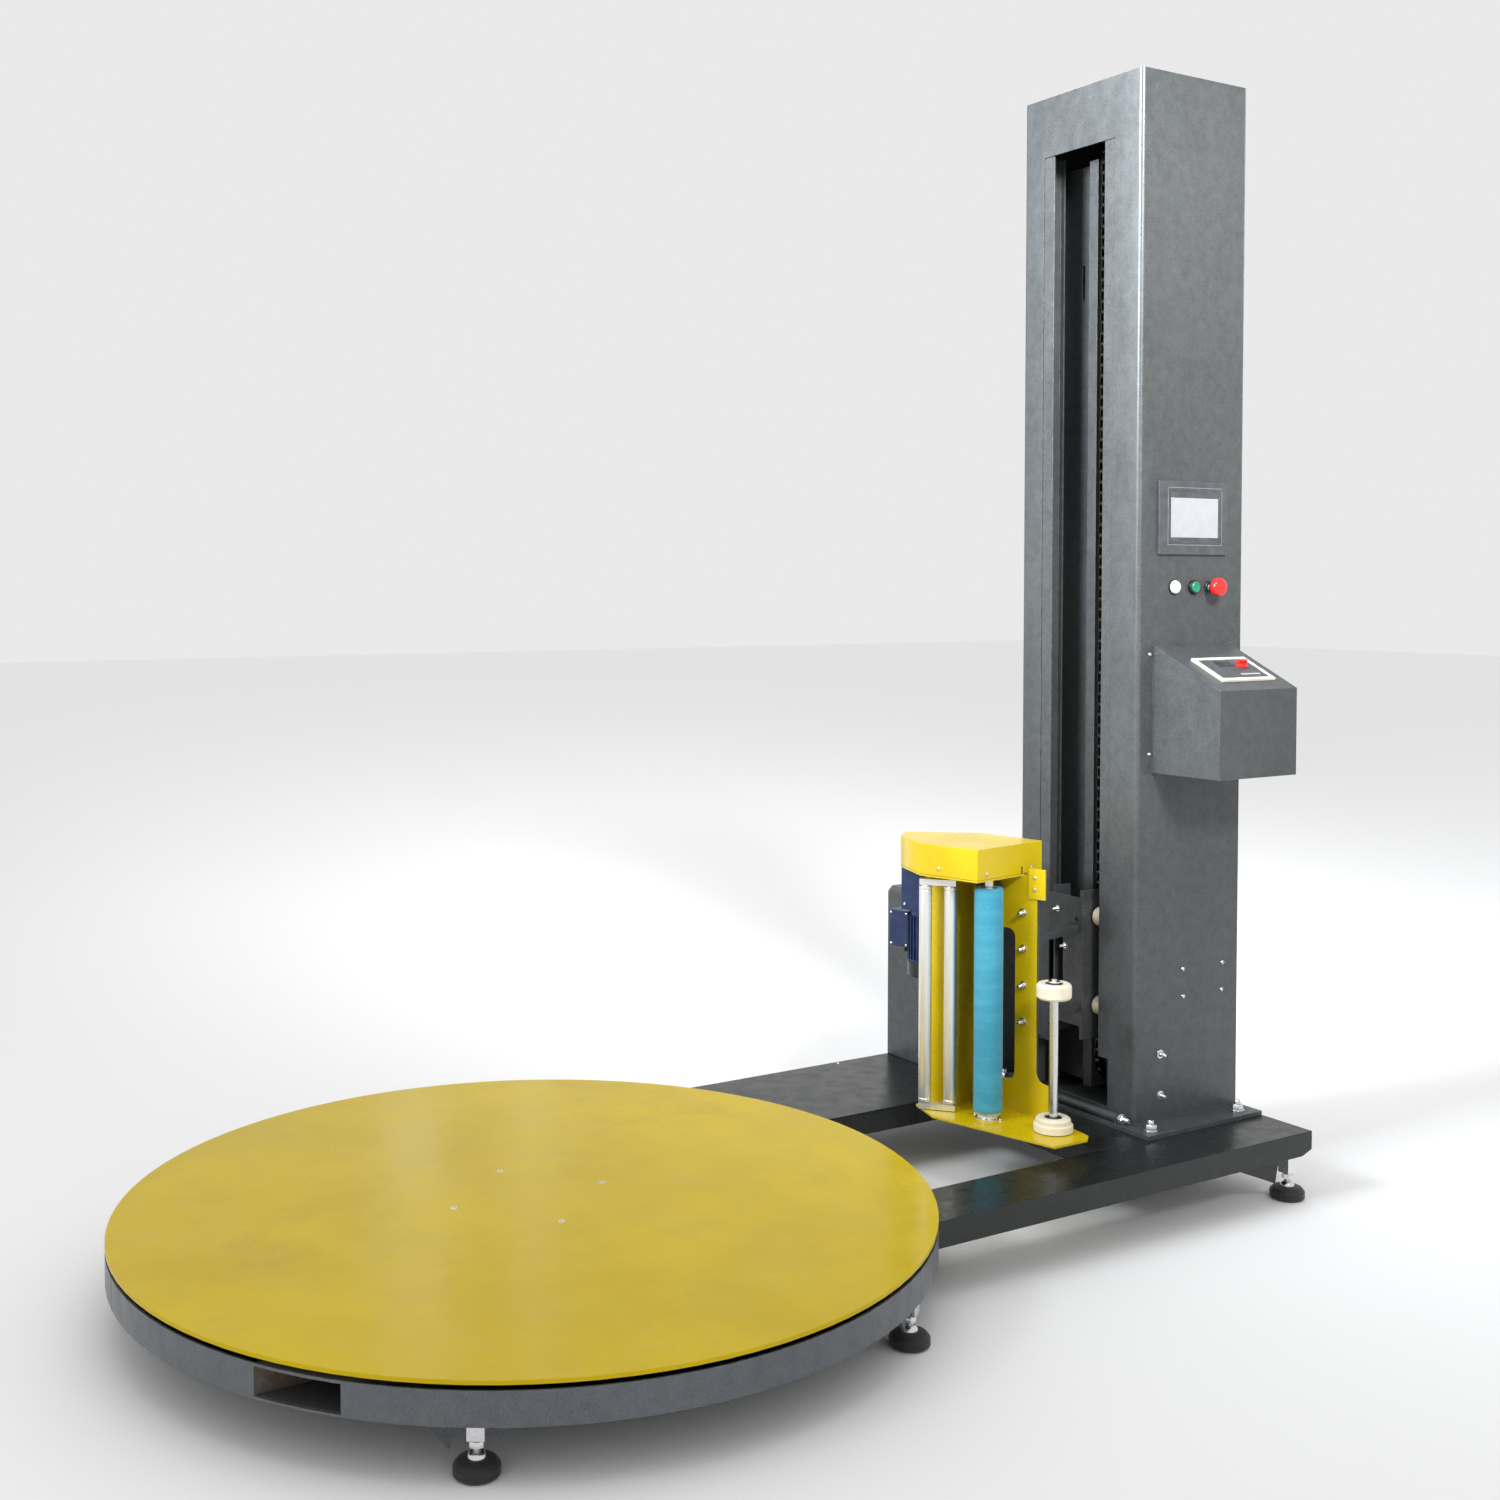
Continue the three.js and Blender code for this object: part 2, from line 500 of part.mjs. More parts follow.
function buildMastColumn(parent) {
  const [y0, y1] = [PANEL_Y - 1, PANEL_Y + MAST.sheet + 1];
  const panelHole = block(HMI.x0 + 10, HMI.x1 - 10, y0, y1, HMI.z0 + 10, HMI.z1 - 10);
  const buttonHoles = [LAMP_X, START_X, STOP_X].map((x) => (
    bar('y', BUTTON_HOLE + GAP, y0, y1, x, BUTTONS_Z)
  ));
  const wall = MAST.halfWidth - MAST.sheet + 1;
  const upperAxle = bar('y', 10, MAST.y - wall, MAST.y + wall, LIFT.x, LIFT.upper, 16);
  const body = cut(join(mastShell(), partition(), upperAxle, ...stopBar()), panelHole, ...buttonHoles);
  addPart(parent, 'mast_column', body, PAINT_GREY);
}

function buildMastRearCover(parent) {
  const { x1, y, halfWidth, top } = MAST;
  const plate = block(x1 - 3, x1, y - halfWidth, y + halfWidth, footTop + GAP, top);
  addPart(parent, 'mast_rear_cover', plate, PAINT_GREY);
}

// C-shaped rails, one each side of the slot, that the carriage wheels run in.
function buildGuideRails(parent) {
  const x0 = MAST.x0 + RAIL.setback;
  const x1 = x0 + RAIL.depth;
  const s = RAIL.sheet;
  for (const [name, side] of [['guide_rail_near', -1], ['guide_rail_far', 1]]) {
    const mouth = SLOT.y + side * SLOT.mouth;
    const web = SLOT.y + side * (SLOT.halfWidth - GAP);
    const inner = web - side * s;
    const rear = inner - side * RAIL.rearLip;
    const outline = [[x0, mouth], [x0, web], [x1, web], [x1, rear], [x1 - s, rear],
      [x1 - s, inner], [x0 + s, inner], [x0 + s, mouth]];
    addPart(parent, name, prism(outline, RAIL.bottom, RAIL.top), PAINT_GREY);
  }
}

function buildLiftDrive(parent) {
  const radius = pitchRadius(LIFT.teeth);
  const half = CHAIN.width / 2;
  const loop = chainSolid(LIFT.x, -LIFT.upper, radius, LIFT.x, -LIFT.lower, radius, -half, half);
  const chain = geometryOf(loop).rotateX(-Math.PI / 2).translate(0, LIFT.y, 0);
  addPart(parent, 'lift_chain', chain, CHAIN_STEEL);

  const tip = radius - CHAIN.thickness / 2 - GAP;
  for (const [name, z] of [['lift_sprocket_lower', LIFT.lower], ['lift_sprocket_upper', LIFT.upper]]) {
    const wheel = toothed(LIFT.teeth, tip - 8, tip, -6, 6);
    const hub = bar('z', 20, -13, 13, 0, 0, 20);
    const hole = bar('z', 10 + GAP, -20, 20, 0, 0, 16);
    const sprocket = geometryOf(cut(join(wheel, hub), hole)).rotateX(Math.PI / 2);
    addPart(parent, name, sprocket.translate(LIFT.x, LIFT.y, z), STEEL);
  }

  const near = LIFT.y - 130;
  const far = LIFT.y - 20;
  const gearbox = block(LIFT.x - 40, LIFT.x + 90, near, far, LIFT.lower - 60, LIFT.lower + 60);
  const motor = bar('z', 62, LIFT.lower + 59, LIFT.lower + 290, LIFT.x + 70, LIFT.y - 90, 28);
  const shaft = bar('y', 10, far - 1, LIFT.y + 12, LIFT.x, LIFT.lower, 16);
  const base = block(LIFT.x - 25, LIFT.x + 75, near, far, footTop + GAP, LIFT.lower - 59);
  addPart(parent, 'lift_gearmotor', join(gearbox, motor, shaft, base), MOTOR_BLUE);
}

// Steel plate with the motor controllers' boxes on it, inside the mast behind the operator's panel.
function buildControlPlate(parent) {
  const x0 = 1640;
  const onPlate = (y, width, z, height, depth) => (
    block(x0 + 2, x0 + depth, MAST.y + y, MAST.y + y + width, z, z + height)
  );
  const plate = block(x0, x0 + 3, MAST.y - 170, MAST.y + 170, 900, 1400);
  const units = [-150, -40, 70].map((y) => onPlate(y, 85, 1180, 160, 90));
  const terminals = onPlate(-150, 300, 950, 120, 90);
  const legs = [-170, 150].map((y) => onPlate(y, 20, 900, 30, MAST.x1 - 3 - GAP - x0));
  addPart(parent, 'control_plate', join(plate, ...units, terminals, ...legs), STEEL);
}

// ---------------------------------------------------------------- operator's panel

function buildHmi(parent) {
  const face = PANEL_Y - GAP;
  const bezel = block(HMI.x0, HMI.x1, face - HMI.proud, face, HMI.z0, HMI.z1);
  const housing = block(HMI.x0 + 12, HMI.x1 - 12, face - 1, face + HMI.depth, HMI.z0 + 12, HMI.z1 - 12);
  const front = face - HMI.proud;
  const pocket = block(SCREEN.x0, SCREEN.x1, front - 1, front + SCREEN.recess, SCREEN.z0, SCREEN.z1);
  addPart(parent, 'hmi_bezel', cut(join(bezel, housing), pocket), GREY_PLASTIC);
  const y1 = face - HMI.proud + SCREEN.recess - GAP;
  const glass = block(SCREEN.x0 + GAP, SCREEN.x1 - GAP, y1 - 1, y1, SCREEN.z0 + GAP, SCREEN.z1 - GAP);
  addPart(parent, 'hmi_screen', glass, SCREEN_GLASS);
}

// Profiles run outward from the mast's face: negative is inside the mast.
function buildButtons(parent) {
  const face = PANEL_Y - GAP;
  const lens = [[0, -30], [BUTTON_HOLE, -30], [BUTTON_HOLE, 0], [16.5, 0], [16.5, 4], [15, 6],
    [13.5, 12], [8, 14], [0, 14.5]];
  addPart(parent, 'pilot_lamp', turnedToOperator(lens, LAMP_X, face, BUTTONS_Z), WHITE_LENS);

  const collar = [[9, -30], [BUTTON_HOLE, -30], [BUTTON_HOLE, 0], [16.5, 0], [16.5, 5], [14, 9],
    [12.2, 9], [12.2, 1], [9, 1], [9, -30]];
  addPart(parent, 'start_button_collar', turnedToOperator(collar, START_X, face, BUTTONS_Z), BLACK_PLASTIC);
  const button = [[0, -22], [8.6, -22], [8.6, 4.5], [11.8, 4.5], [11.8, 11], [10, 12.2], [0, 12.5]];
  addPart(parent, 'start_button', turnedToOperator(button, START_X, face, BUTTONS_Z), GREEN_PLASTIC);

  const stopCollar = [[9, -30], [BUTTON_HOLE, -30], [BUTTON_HOLE, 0], [15, 0], [15, 8], [13, 10],
    [9, 10], [9, -30]];
  addPart(parent, 'estop_collar', turnedToOperator(stopCollar, STOP_X, face, BUTTONS_Z), BLACK_PLASTIC);
  const stem = [[0, -24], [8.5, -24], [8.5, 17.7], [0, 17.7]];
  addPart(parent, 'estop_stem', turnedToOperator(stem, STOP_X, face, BUTTONS_Z), STEEL);
  const head = [[0, 18], [13, 18], [18, 20], [22, 25], [22, 35], [20, 38.5], [14, 40.5], [0, 41]];
  addPart(parent, 'estop_head', turnedToOperator(head, STOP_X, face, BUTTONS_Z, 24), RED_PLASTIC);
}

function buildConsole(parent) {
  const c = CONSOLE;
  const face = PANEL_Y - GAP;
  const front = face - c.depth;
  const s = c.sheet;
  const profile = [[front, c.bottom], [face, c.bottom], [face, c.back], [front, c.front]];
  const lid = 1.2 * s;
  const hollow = [[front + s, c.bottom + s], [face + 1, c.bottom + s], [face + 1, c.back - lid],
    [front + s, c.front - lid]];
  const along = (points, x0, x1) => prism(points, x0, x1).rotateX(Math.PI / 2).rotateZ(Math.PI / 2);
  const flanges = [c.x0 - c.flange, c.x1 - 1].map((x) => (
    block(x, x + c.flange + 1, face - 2, face, c.bottom, c.back)
  ));

  const slope = Math.atan2(c.back - c.front, c.depth);
  const { width, depth, thickness, down } = SLOPE_PANEL;
  const centre = [SLOPE_PANEL.x, face - down * Math.cos(slope), c.back - down * Math.sin(slope)];
  const onSlope = (shape) => shape.rotateX(slope).translate(...centre);
  const mouth = onSlope(block(-width / 2 + 8, width / 2 - 8, -depth / 2 + 8, depth / 2 - 8, -15, 10));
  const shell = cut(along(profile, c.x0, c.x1), along(hollow, c.x0 + s, c.x1 - s), mouth);
  addPart(parent, 'console_box', join(shell, ...flanges), PAINT_GREY);

  const [halfWidth, halfDepth] = [width / 2, depth / 2];
  const [w, d] = [halfWidth - 9, halfDepth - 9];
  const frame = block(-halfWidth, halfWidth, -halfDepth, halfDepth, GAP, thickness);
  const inside = block(-w, w, -d, d, -38, thickness - 1);
  const recess = block(-w, w, -d, d, thickness - 1.5, thickness + 1);
  const spindleHole = bar('z', 5, -20, 10, KNOB.across, KNOB.up);
  const panel = cut(join(frame, inside), recess, spindleHole);
  addPart(parent, 'console_panel', onSlope(geometryOf(panel)), CREAM_PLASTIC);
  const seat = thickness - 1.5 + GAP;
  const stem = turned([[0, -15], [4.5, -15], [4.5, seat], [14, seat], [14, seat + 5], [12, seat + 7],
    [0, seat + 7]], 24);
  const grip = block(-13, 13, -3.5, 3.5, seat + 6, seat + 16);
  const knob = geometryOf(join(stem, grip)).translate(KNOB.across, KNOB.up, 0);
  addPart(parent, 'console_knob', onSlope(knob), RED_PLASTIC);
}

// ---------------------------------------------------------------- carriage

// Places a shape given in the film head's own directions into the carriage's.
const toHead = (shape) => shape.rotateZ(degrees(HEAD.turn)).translate(HEAD.x, HEAD.y, 0);

// Plate that rides in front of the slot, its two side flanges, the wheels' axles, the chain lug,
// and two arms to the upright post that the film head is bolted to.
function buildCarriageFrame(parent) {
  const c = CARRIAGE;
  const back = c.x + c.sheet;
  const strip = 9;
  const plate = [
    block(c.x, back, c.y0, c.y0 + strip, c.z0, c.z1),
    block(c.x, back, c.y0 + strip - 1, c.y1, c.z0 + 30, c.z1 - 18),
  ];
  const window = roundedWindow(c.x - 1, back + 1, -76, -14, 440, 575, 12);
  const countersinks = [404, 621].map((z) => bar('x', 8, c.x - 1, c.x + 3, -121, z, 16));
  const farFlange = 2 * SLOT.y - c.y0 - 4;
  const flanges = [c.y0, farFlange].map((y) => block(c.x + 1, c.x + c.flangeDepth, y, y + 4, c.z0, c.z1));
  const axles = [];
  for (const side of [-1, 1]) {
    for (const z of [WHEEL.low, WHEEL.high]) {
      const ends = [SLOT.y + side * 46, SLOT.y + side * (WHEEL.outer + 2)].sort((a, b) => a - b);
      axles.push(bar('y', WHEEL.axle, ends[0], ends[1], WHEEL.x, z, 16));
    }
  }
  const lug = block(back - 1, c.x + 92, LIFT.y - 3, LIFT.y + 3, 560, 660);
  const post = toHead(block(HEAD_SHEET + GAP, 46, -31, 30, 384, HEAD.roof - 6));
  const arms = [400, 592].map((z) => (
    prism([[1230, -172], [c.x + 1, c.y0 + 14], [c.x + 1, c.y0 + 54], [1230, -132]], z, z + 14)
  ));
  const body = join(cut(join(...plate), window, ...countersinks), ...flanges, ...axles, lug, post, ...arms);
  addPart(parent, 'carriage_frame', body, PAINT_GREY);
}

function buildGuideWheels(parent) {
  let number = 1;
  for (const side of [-1, 1]) {
    for (const z of [WHEEL.low, WHEEL.high]) {
      const [near, far] = [SLOT.y + side * WHEEL.inner, SLOT.y + side * WHEEL.outer].sort((a, b) => a - b);
      const wheel = bar('y', WHEEL.radius, near, far, WHEEL.x, z, 28);
      const bore = bar('y', WHEEL.axle + GAP, near - 1, far + 1, WHEEL.x, z, 16);
      addPart(parent, `guide_wheel_${number}`, cut(wheel, bore), NYLON);
      number += 1;
    }
  }
}

// ---------------------------------------------------------------- film head

const COVER_OUTLINE = [[-160, 186], [-160, 29], [70, 2], [75, 174], [-25, 323], [-88, 292]];
const FLOOR_OUTLINE = [[-170, 140], [-170, -180], [-78, -207], [-54, -196], [-48, -186], [4, -62],
  [4, 149], [-81, 149], [-81, 222], [-120, 222]];
const BACK = { right: -27, flare: -60, flareTop: 268, fillet: 30, left: 149 };
const SHIELD = { x: -85, end: 222 };
const MOTOR = { x: -17, y: 255, radius: 50, bottom: 479, gearboxBottom: 640 };

// The back plate's outline in the y-z plane: a column that widens to the right at its foot.
function backPlate() {
  const z0 = HEAD.floor - 1;
  const z1 = HEAD.roof + 1;
  const shape = new THREE.Shape();
  shape.moveTo(BACK.flare, z0);
  shape.lineTo(BACK.left, z0);
  shape.lineTo(BACK.left, z1);
  shape.lineTo(BACK.right, z1);
  shape.lineTo(BACK.right, BACK.flareTop + BACK.fillet);
  shape.quadraticCurveTo(BACK.right, BACK.flareTop, BACK.flare, BACK.flareTop);
  const options = { depth: HEAD_SHEET, bevelEnabled: false, curveSegments: 6 };
  const geometry = new THREE.ExtrudeGeometry(shape, options);
  return geometry.rotateX(Math.PI / 2).rotateZ(Math.PI / 2);
}

// Floor plate, folded back plate with its slots and window, motor shield, and roof plate: one weldment.
function buildHeadFrame(parent) {
  const s = HEAD_SHEET;
  const floor = prism(FLOOR_OUTLINE, HEAD.floor - 5, HEAD.floor);
  const back = backPlate();
  const shield = block(SHIELD.x, SHIELD.x + s, BACK.left - s, SHIELD.end, HEAD.floor - 1, HEAD.roof + 1);
  const returnWall = block(SHIELD.x, s, BACK.left - s, BACK.left, HEAD.floor - 1, HEAD.roof + 1);
  const roof = prism(COVER_OUTLINE, HEAD.roof, HEAD.roof + s);
  const tab = block(-s, 1, -51, -8, 696, 766);
  const window = roundedWindow(-1, s + 1, 29, 137, 265, 620, 20);
  const slots = [406, 491, 576, 661].map((z) => uprightSlot(-1, s + 1, 8, z, 5, 9));
  const holes = [DRIVE_ROLLER, idleRoller].map(({ x, y }) => (
    bar('z', 13, HEAD.roof - 1, HEAD.roof + s + 1, x, y, 16)
  ));
  const motorHole = bar('z', 20, HEAD.roof - 1, HEAD.roof + s + 1, MOTOR.x, MOTOR.y, 16);
  const body = cut(join(floor, back, shield, returnWall, roof, tab), window, ...slots, ...holes, motorHole);
  addPart(parent, 'head_frame', body, PAINT_YELLOW);
}

function buildTopCover(parent) {
  const outline = COVER_OUTLINE.map(([x, y]) => new THREE.Vector2(x, y));
  const total = outline.reduce((sum, point) => sum.add(point), new THREE.Vector2());
  const centre = total.divideScalar(outline.length);
  const inset = outline.map((point) => {
    const inward = centre.clone().sub(point);
    return point.clone().add(inward.multiplyScalar(4.5 / inward.length()));
  });
  const z0 = HEAD.roof + HEAD_SHEET + GAP;
  const z1 = z0 + COVER_HEIGHT;
  const outer = prism(COVER_OUTLINE, z0, z1);
  const inner = prism(inset.map((point) => [point.x, point.y]), z0 - 1, z1 - 3);
  const tabRelief = block(-HEAD_SHEET - GAP, 1 + GAP, -51, 20, z0 - 1, 766 + GAP);
  addPart(parent, 'top_cover', cut(outer, inner, tabRelief), PAINT_YELLOW);
}

const gearDistance = GEAR.module * (DRIVE_ROLLER.teeth + IDLE_ROLLER.teeth) / 2;
const idleRoller = {
  x: DRIVE_ROLLER.x + gearDistance * Math.cos(degrees(IDLE_ROLLER.bearing)),
  y: DRIVE_ROLLER.y + gearDistance * Math.sin(degrees(IDLE_ROLLER.bearing)),
};

// A pre-stretch roller on its shaft, with its gear above the roof plate.
function stretchRoller(radius, teeth, phase, groove) {
  const z0 = HEAD.floor + GAP;
  const roof = HEAD.roof + HEAD_SHEET;
  const gearBottom = roof + 4;
  const gearTop = gearBottom + GEAR.thickness;
  const z1 = HEAD.roof - 20;
  const body = turned([[0, z0], [20, z0], [20, z0 + 10], [radius - groove, z0 + 10], [radius, z0 + 12],
    [radius, z1 - 2], [radius - groove, z1], [10, z1], [10, gearTop + 8], [0, gearTop + 8]], 28);
  const pitch = GEAR.module * teeth / 2;
  const [root, tip] = [pitch - 1.25 * GEAR.module, pitch + 0.85 * GEAR.module];
  const gear = toothed(teeth, root, tip, gearBottom, gearTop, phase, 0.3, 0.13);
  return join(body, gear);
}

function buildStretchRollers(parent) {
  const bearing = degrees(IDLE_ROLLER.bearing);
  const driven = geometryOf(stretchRoller(DRIVE_ROLLER.radius, DRIVE_ROLLER.teeth, bearing, 2));
  driven.translate(DRIVE_ROLLER.x, DRIVE_ROLLER.y, 0);
  addPart(parent, 'stretch_roller_driven', driven, BLUE_RUBBER);
  const halfTooth = Math.PI / IDLE_ROLLER.teeth;
  const phase = bearing + Math.PI + halfTooth;
  const follower = geometryOf(stretchRoller(IDLE_ROLLER.radius, IDLE_ROLLER.teeth, phase, 2));
  addPart(parent, 'stretch_roller_second', follower.translate(idleRoller.x, idleRoller.y, 0), BLUE_RUBBER);
}

// Two end bars joined by nothing but their rollers' axles; they swing about the pivot roller's axis.
function buildDancer(parent) {
  const d = DANCER;
  const low = HEAD.floor + 2;
  const high = HEAD.roof - 10 - d.bar;
  const length = Math.hypot(d.endX - d.pivotX, d.endY - d.pivotY);
  const heading = Math.atan2(d.endY - d.pivotY, d.endX - d.pivotX);
  const place = (shape) => shape.rotateZ(heading).translate(d.pivotX, d.pivotY, 0);
  const ends = [low, high].map((z) => block(-13, length + 13, -10, 10, z, z + d.bar));
  const axles = [0, length].map((x) => bar('z', 4, low + 1, high + d.bar - 1, x, 0, 16));
  const pins = [
    bar('z', 5, HEAD.floor + GAP, low + 1, 0, 0, 16),
    bar('z', 5, high + d.bar - 1, HEAD.roof - GAP, 0, 0, 16),
  ];
  addPart(parent, 'dancer_arm', place(geometryOf(join(ends[0], ends[1], ...axles, ...pins))), ALUMINIUM);
  [length, 0].forEach((x, i) => {
    const tube = bar('z', d.rollerRadius, low + d.bar + 1, high - 1, x, 0, 24);
    const bore = bar('z', 4 + GAP, low, high + 20, x, 0, 16);
    addPart(parent, `dancer_roller_${i + 1}`, place(geometryOf(cut(tube, bore))), ALUMINIUM);
  });
}

// The film roll stands on a stepped nylon disc, and a smaller one fills the top of its core.
function buildMandrel(parent) {
  const { x, y, rod, base, core, capBottom, capTop } = MANDREL;
  const z0 = HEAD.floor + GAP;
  const post = turned([[0, z0], [rod, z0], [rod, capTop + 1], [rod + 4, capTop + 1], [rod + 4, capTop + 5],
    [rod - 4, capTop + 5], [rod - 4, capTop + 10], [0, capTop + 10]], 24);
  addPart(parent, 'mandrel_rod', post.translate(x, y, 0), STEEL);
  const bore = rod + GAP;
  const lowDisc = turned([[bore, z0 + 1], [base, z0 + 1], [base, z0 + 17], [core, z0 + 19], [core, z0 + 28],
    [core - 4, z0 + 32], [20, z0 + 32], [20, z0 + 28], [bore, z0 + 28], [bore, z0 + 1]], 32);
  addPart(parent, 'mandrel_base', lowDisc.translate(x, y, 0), NYLON);
  const cap = turned([[bore, capBottom], [core - 4, capBottom], [core, capBottom + 5],
    [core, capTop - 5], [core - 4, capTop], [20, capTop], [20, capTop - 4], [bore, capTop - 4],
    [bore, capBottom]], 32);
  addPart(parent, 'mandrel_top', cap.translate(x, y, 0), NYLON);
}

function buildHeadMotor(parent) {
  const { x, y, radius, bottom, gearboxBottom } = MOTOR;
  const top = HEAD.roof - GAP;
  const gearbox = block(x - 50, x + 50, y - 50, y + 50, gearboxBottom, top);
  const motor = bar('z', radius, bottom, gearboxBottom + 1, x, y, 28);
  const box = block(x - 40, x + 40, y + radius - 16, y + radius + 40, 546, 634);
  const shaft = bar('z', 12, top - 1, HEAD.roof + 30, x, y, 16);
  addPart(parent, 'head_gearmotor', join(gearbox, motor, box, shaft), MOTOR_BLUE);
}

// ---------------------------------------------------------------- the whole machine

const machine = new THREE.Group();
machine.position.x = -TABLE_OFFSET;

buildBasePlate(machine);
buildBaseRing(machine);
buildNearBeam(machine);
buildFarBeam(machine);
buildChainCover(machine);
buildCrossmember(machine);
buildFeet(machine);
buildTurntable(machine);
buildSupportRollers(machine);
buildTableDrive(machine);
buildDriveCover(machine);
buildMastColumn(machine);
buildMastRearCover(machine);
buildGuideRails(machine);
buildLiftDrive(machine);
buildControlPlate(machine);
buildHmi(machine);
buildButtons(machine);
buildConsole(machine);
buildCarriageFrame(machine);
buildGuideWheels(machine);

const head = new THREE.Group();
head.position.set(HEAD.x, HEAD.y, 0);
head.rotation.z = degrees(HEAD.turn);
machine.add(head);
buildHeadFrame(head);
buildTopCover(head);
buildStretchRollers(head);
buildDancer(head);
buildMandrel(head);
buildHeadMotor(head);

const wrapper = new THREE.Group();
wrapper.add(machine);
wrapper.updateMatrixWorld(true);

export default wrapper;
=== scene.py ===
import json
import math

import bmesh
import bpy
from mathutils import Matrix, Vector


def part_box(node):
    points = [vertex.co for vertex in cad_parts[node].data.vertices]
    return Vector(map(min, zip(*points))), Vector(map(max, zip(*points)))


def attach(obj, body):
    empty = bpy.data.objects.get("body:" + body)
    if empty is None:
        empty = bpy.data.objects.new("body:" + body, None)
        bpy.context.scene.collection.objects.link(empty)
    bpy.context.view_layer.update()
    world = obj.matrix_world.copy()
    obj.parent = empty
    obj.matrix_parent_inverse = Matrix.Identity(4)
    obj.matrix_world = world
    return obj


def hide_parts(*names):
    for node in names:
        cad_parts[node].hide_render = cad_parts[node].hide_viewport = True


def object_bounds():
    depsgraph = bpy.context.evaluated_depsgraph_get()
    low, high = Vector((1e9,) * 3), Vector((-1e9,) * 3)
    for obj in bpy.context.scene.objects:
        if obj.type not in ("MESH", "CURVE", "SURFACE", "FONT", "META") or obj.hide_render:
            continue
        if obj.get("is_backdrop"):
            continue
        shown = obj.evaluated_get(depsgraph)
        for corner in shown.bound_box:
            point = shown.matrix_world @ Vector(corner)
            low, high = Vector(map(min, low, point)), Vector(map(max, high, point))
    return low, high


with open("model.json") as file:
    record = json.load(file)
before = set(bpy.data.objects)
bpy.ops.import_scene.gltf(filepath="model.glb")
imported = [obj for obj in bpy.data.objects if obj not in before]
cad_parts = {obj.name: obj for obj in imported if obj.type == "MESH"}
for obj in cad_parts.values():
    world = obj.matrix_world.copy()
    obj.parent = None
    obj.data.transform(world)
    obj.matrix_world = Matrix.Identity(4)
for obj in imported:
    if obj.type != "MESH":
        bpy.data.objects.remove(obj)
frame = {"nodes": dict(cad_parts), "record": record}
CAD_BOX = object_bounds()

# Turntable pallet wrapper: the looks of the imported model. Blender works in metres. Places inside the
# machine are written in millimetres from the turntable's axis, as the CAD source writes them, and
# at() and on_head() turn them into the shared frame.

# ---------------------------------------------------------------- driving dimensions

TABLE_AXIS = Vector((-0.465, 0.0, 0.0))        # the turntable's axis in the shared frame
HEAD_ORIGIN = (1205, -154)                     # film head's own origin, from the turntable's axis
HEAD_TURN = math.radians(15.5)
OPERATOR = Vector((0, -1, 0))                  # the side that the operator's panel faces
FAR_SIDE = Vector((0, 1, 0))
TOWARD_TABLE = Vector((-1, 0, 0))
UP = Vector((0, 0, 1))

# Base and turntable.
DISC_SCREWS = {"ring": 163, "turn": 86, "radius": 6.8}
FOOT = {"pad": 39, "dome": 30, "nut": 13, "stud": 8, "thread": 2.0, "block": 30, "block_bottom": 60}
POCKET = {"y": (420, 555), "z": (104, 156)}    # fork pockets in the base's rim

# Mast and lift. Places on the mast's side are (x, z), and anchors are (x, y).
MAST_SIDE = -293.5                             # the operator's side of the mast
MAST_FOOT_TOP = 170.3
MAST_SIDE_SCREWS = [(1569, 515), (1703, 516), (1571, 450), (1701, 451)]
MAST_SIDE_BOLTS = [(1496, 323), (1497, 226)]
MAST_ANCHORS = [(1410, -347), (1704, -342), (1410, 147), (1704, 142)]
STOP_BAR = {"x": 1389, "z": 182.3, "near_end": -275, "far_end": 75}
CHAIN = {"pitch": 25.4, "teeth": 11, "y": -97, "plate": 1.6, "waist": 7.2, "roller": 7.4,
         "inner_spread": 4.2, "outer_spread": 6.2}

# Operator's panel and console.
SCREEN_FRAME = {"left": 11, "right": 12, "below": 18, "above": 24, "line": 1.3, "bar": 6.5, "inset": 3.5}
CONSOLE_TOP = {"x": 1591, "down": 133, "wall": -293.8, "back": 1282, "slope": math.atan2(98, 200)}
CONSOLE_SCREWS = {"x": (1449, 1721), "y": -295.8, "z": (1028, 1259)}

# Carriage and film head. Places on the carriage's face are (y, z).
CARRIAGE_FACE = 1396
CARRIAGE_STUDS = [(-59, 638), (-84, 552), (-71, 395)]
CARRIAGE_PLUGS = [(-121, 404), (-121, 621)]
SLOT_BOLTS = {"y": 8, "heights": (406, 491, 576, 661)}
SLEEVE = {"low": 209, "high": 727, "bore": 20, "ease": 3}    # the stretch rollers' rubber
HEAD_FLOOR = 4.3                               # thickness of the head's floor, with its gap
MOTOR = {"x": -17, "y": 255, "radius": 50, "fins": 30, "fin_length": 108}    # on the film head
TERMINAL_BOX = {"x": -59, "y": 317, "z": 590, "width": 54, "height": 86}


CAMERA = {
    "place": (-2.0294, -3.139, 1.420),
    "turn": (88.15, 0.0, -31.11),
    "lens": 41.59,
    "shift": (0.0546, -0.0730),
}


def at(x, y, z):
    """A point in millimetres from the turntable's axis, in the shared frame."""
    return TABLE_AXIS + Vector((x, y, z)) / 1000


def on_head(x, y, z):
    """A point in millimetres from the film head's origin, along its turned axes."""
    turn = Matrix.Rotation(HEAD_TURN, 2)
    flat = Vector(HEAD_ORIGIN) + turn @ Vector((x, y))
    return at(flat.x, flat.y, z)


def head_direction(x, y):
    return Matrix.Rotation(HEAD_TURN, 3, "Z") @ Vector((x, y, 0))


# ---------------------------------------------------------------- materials

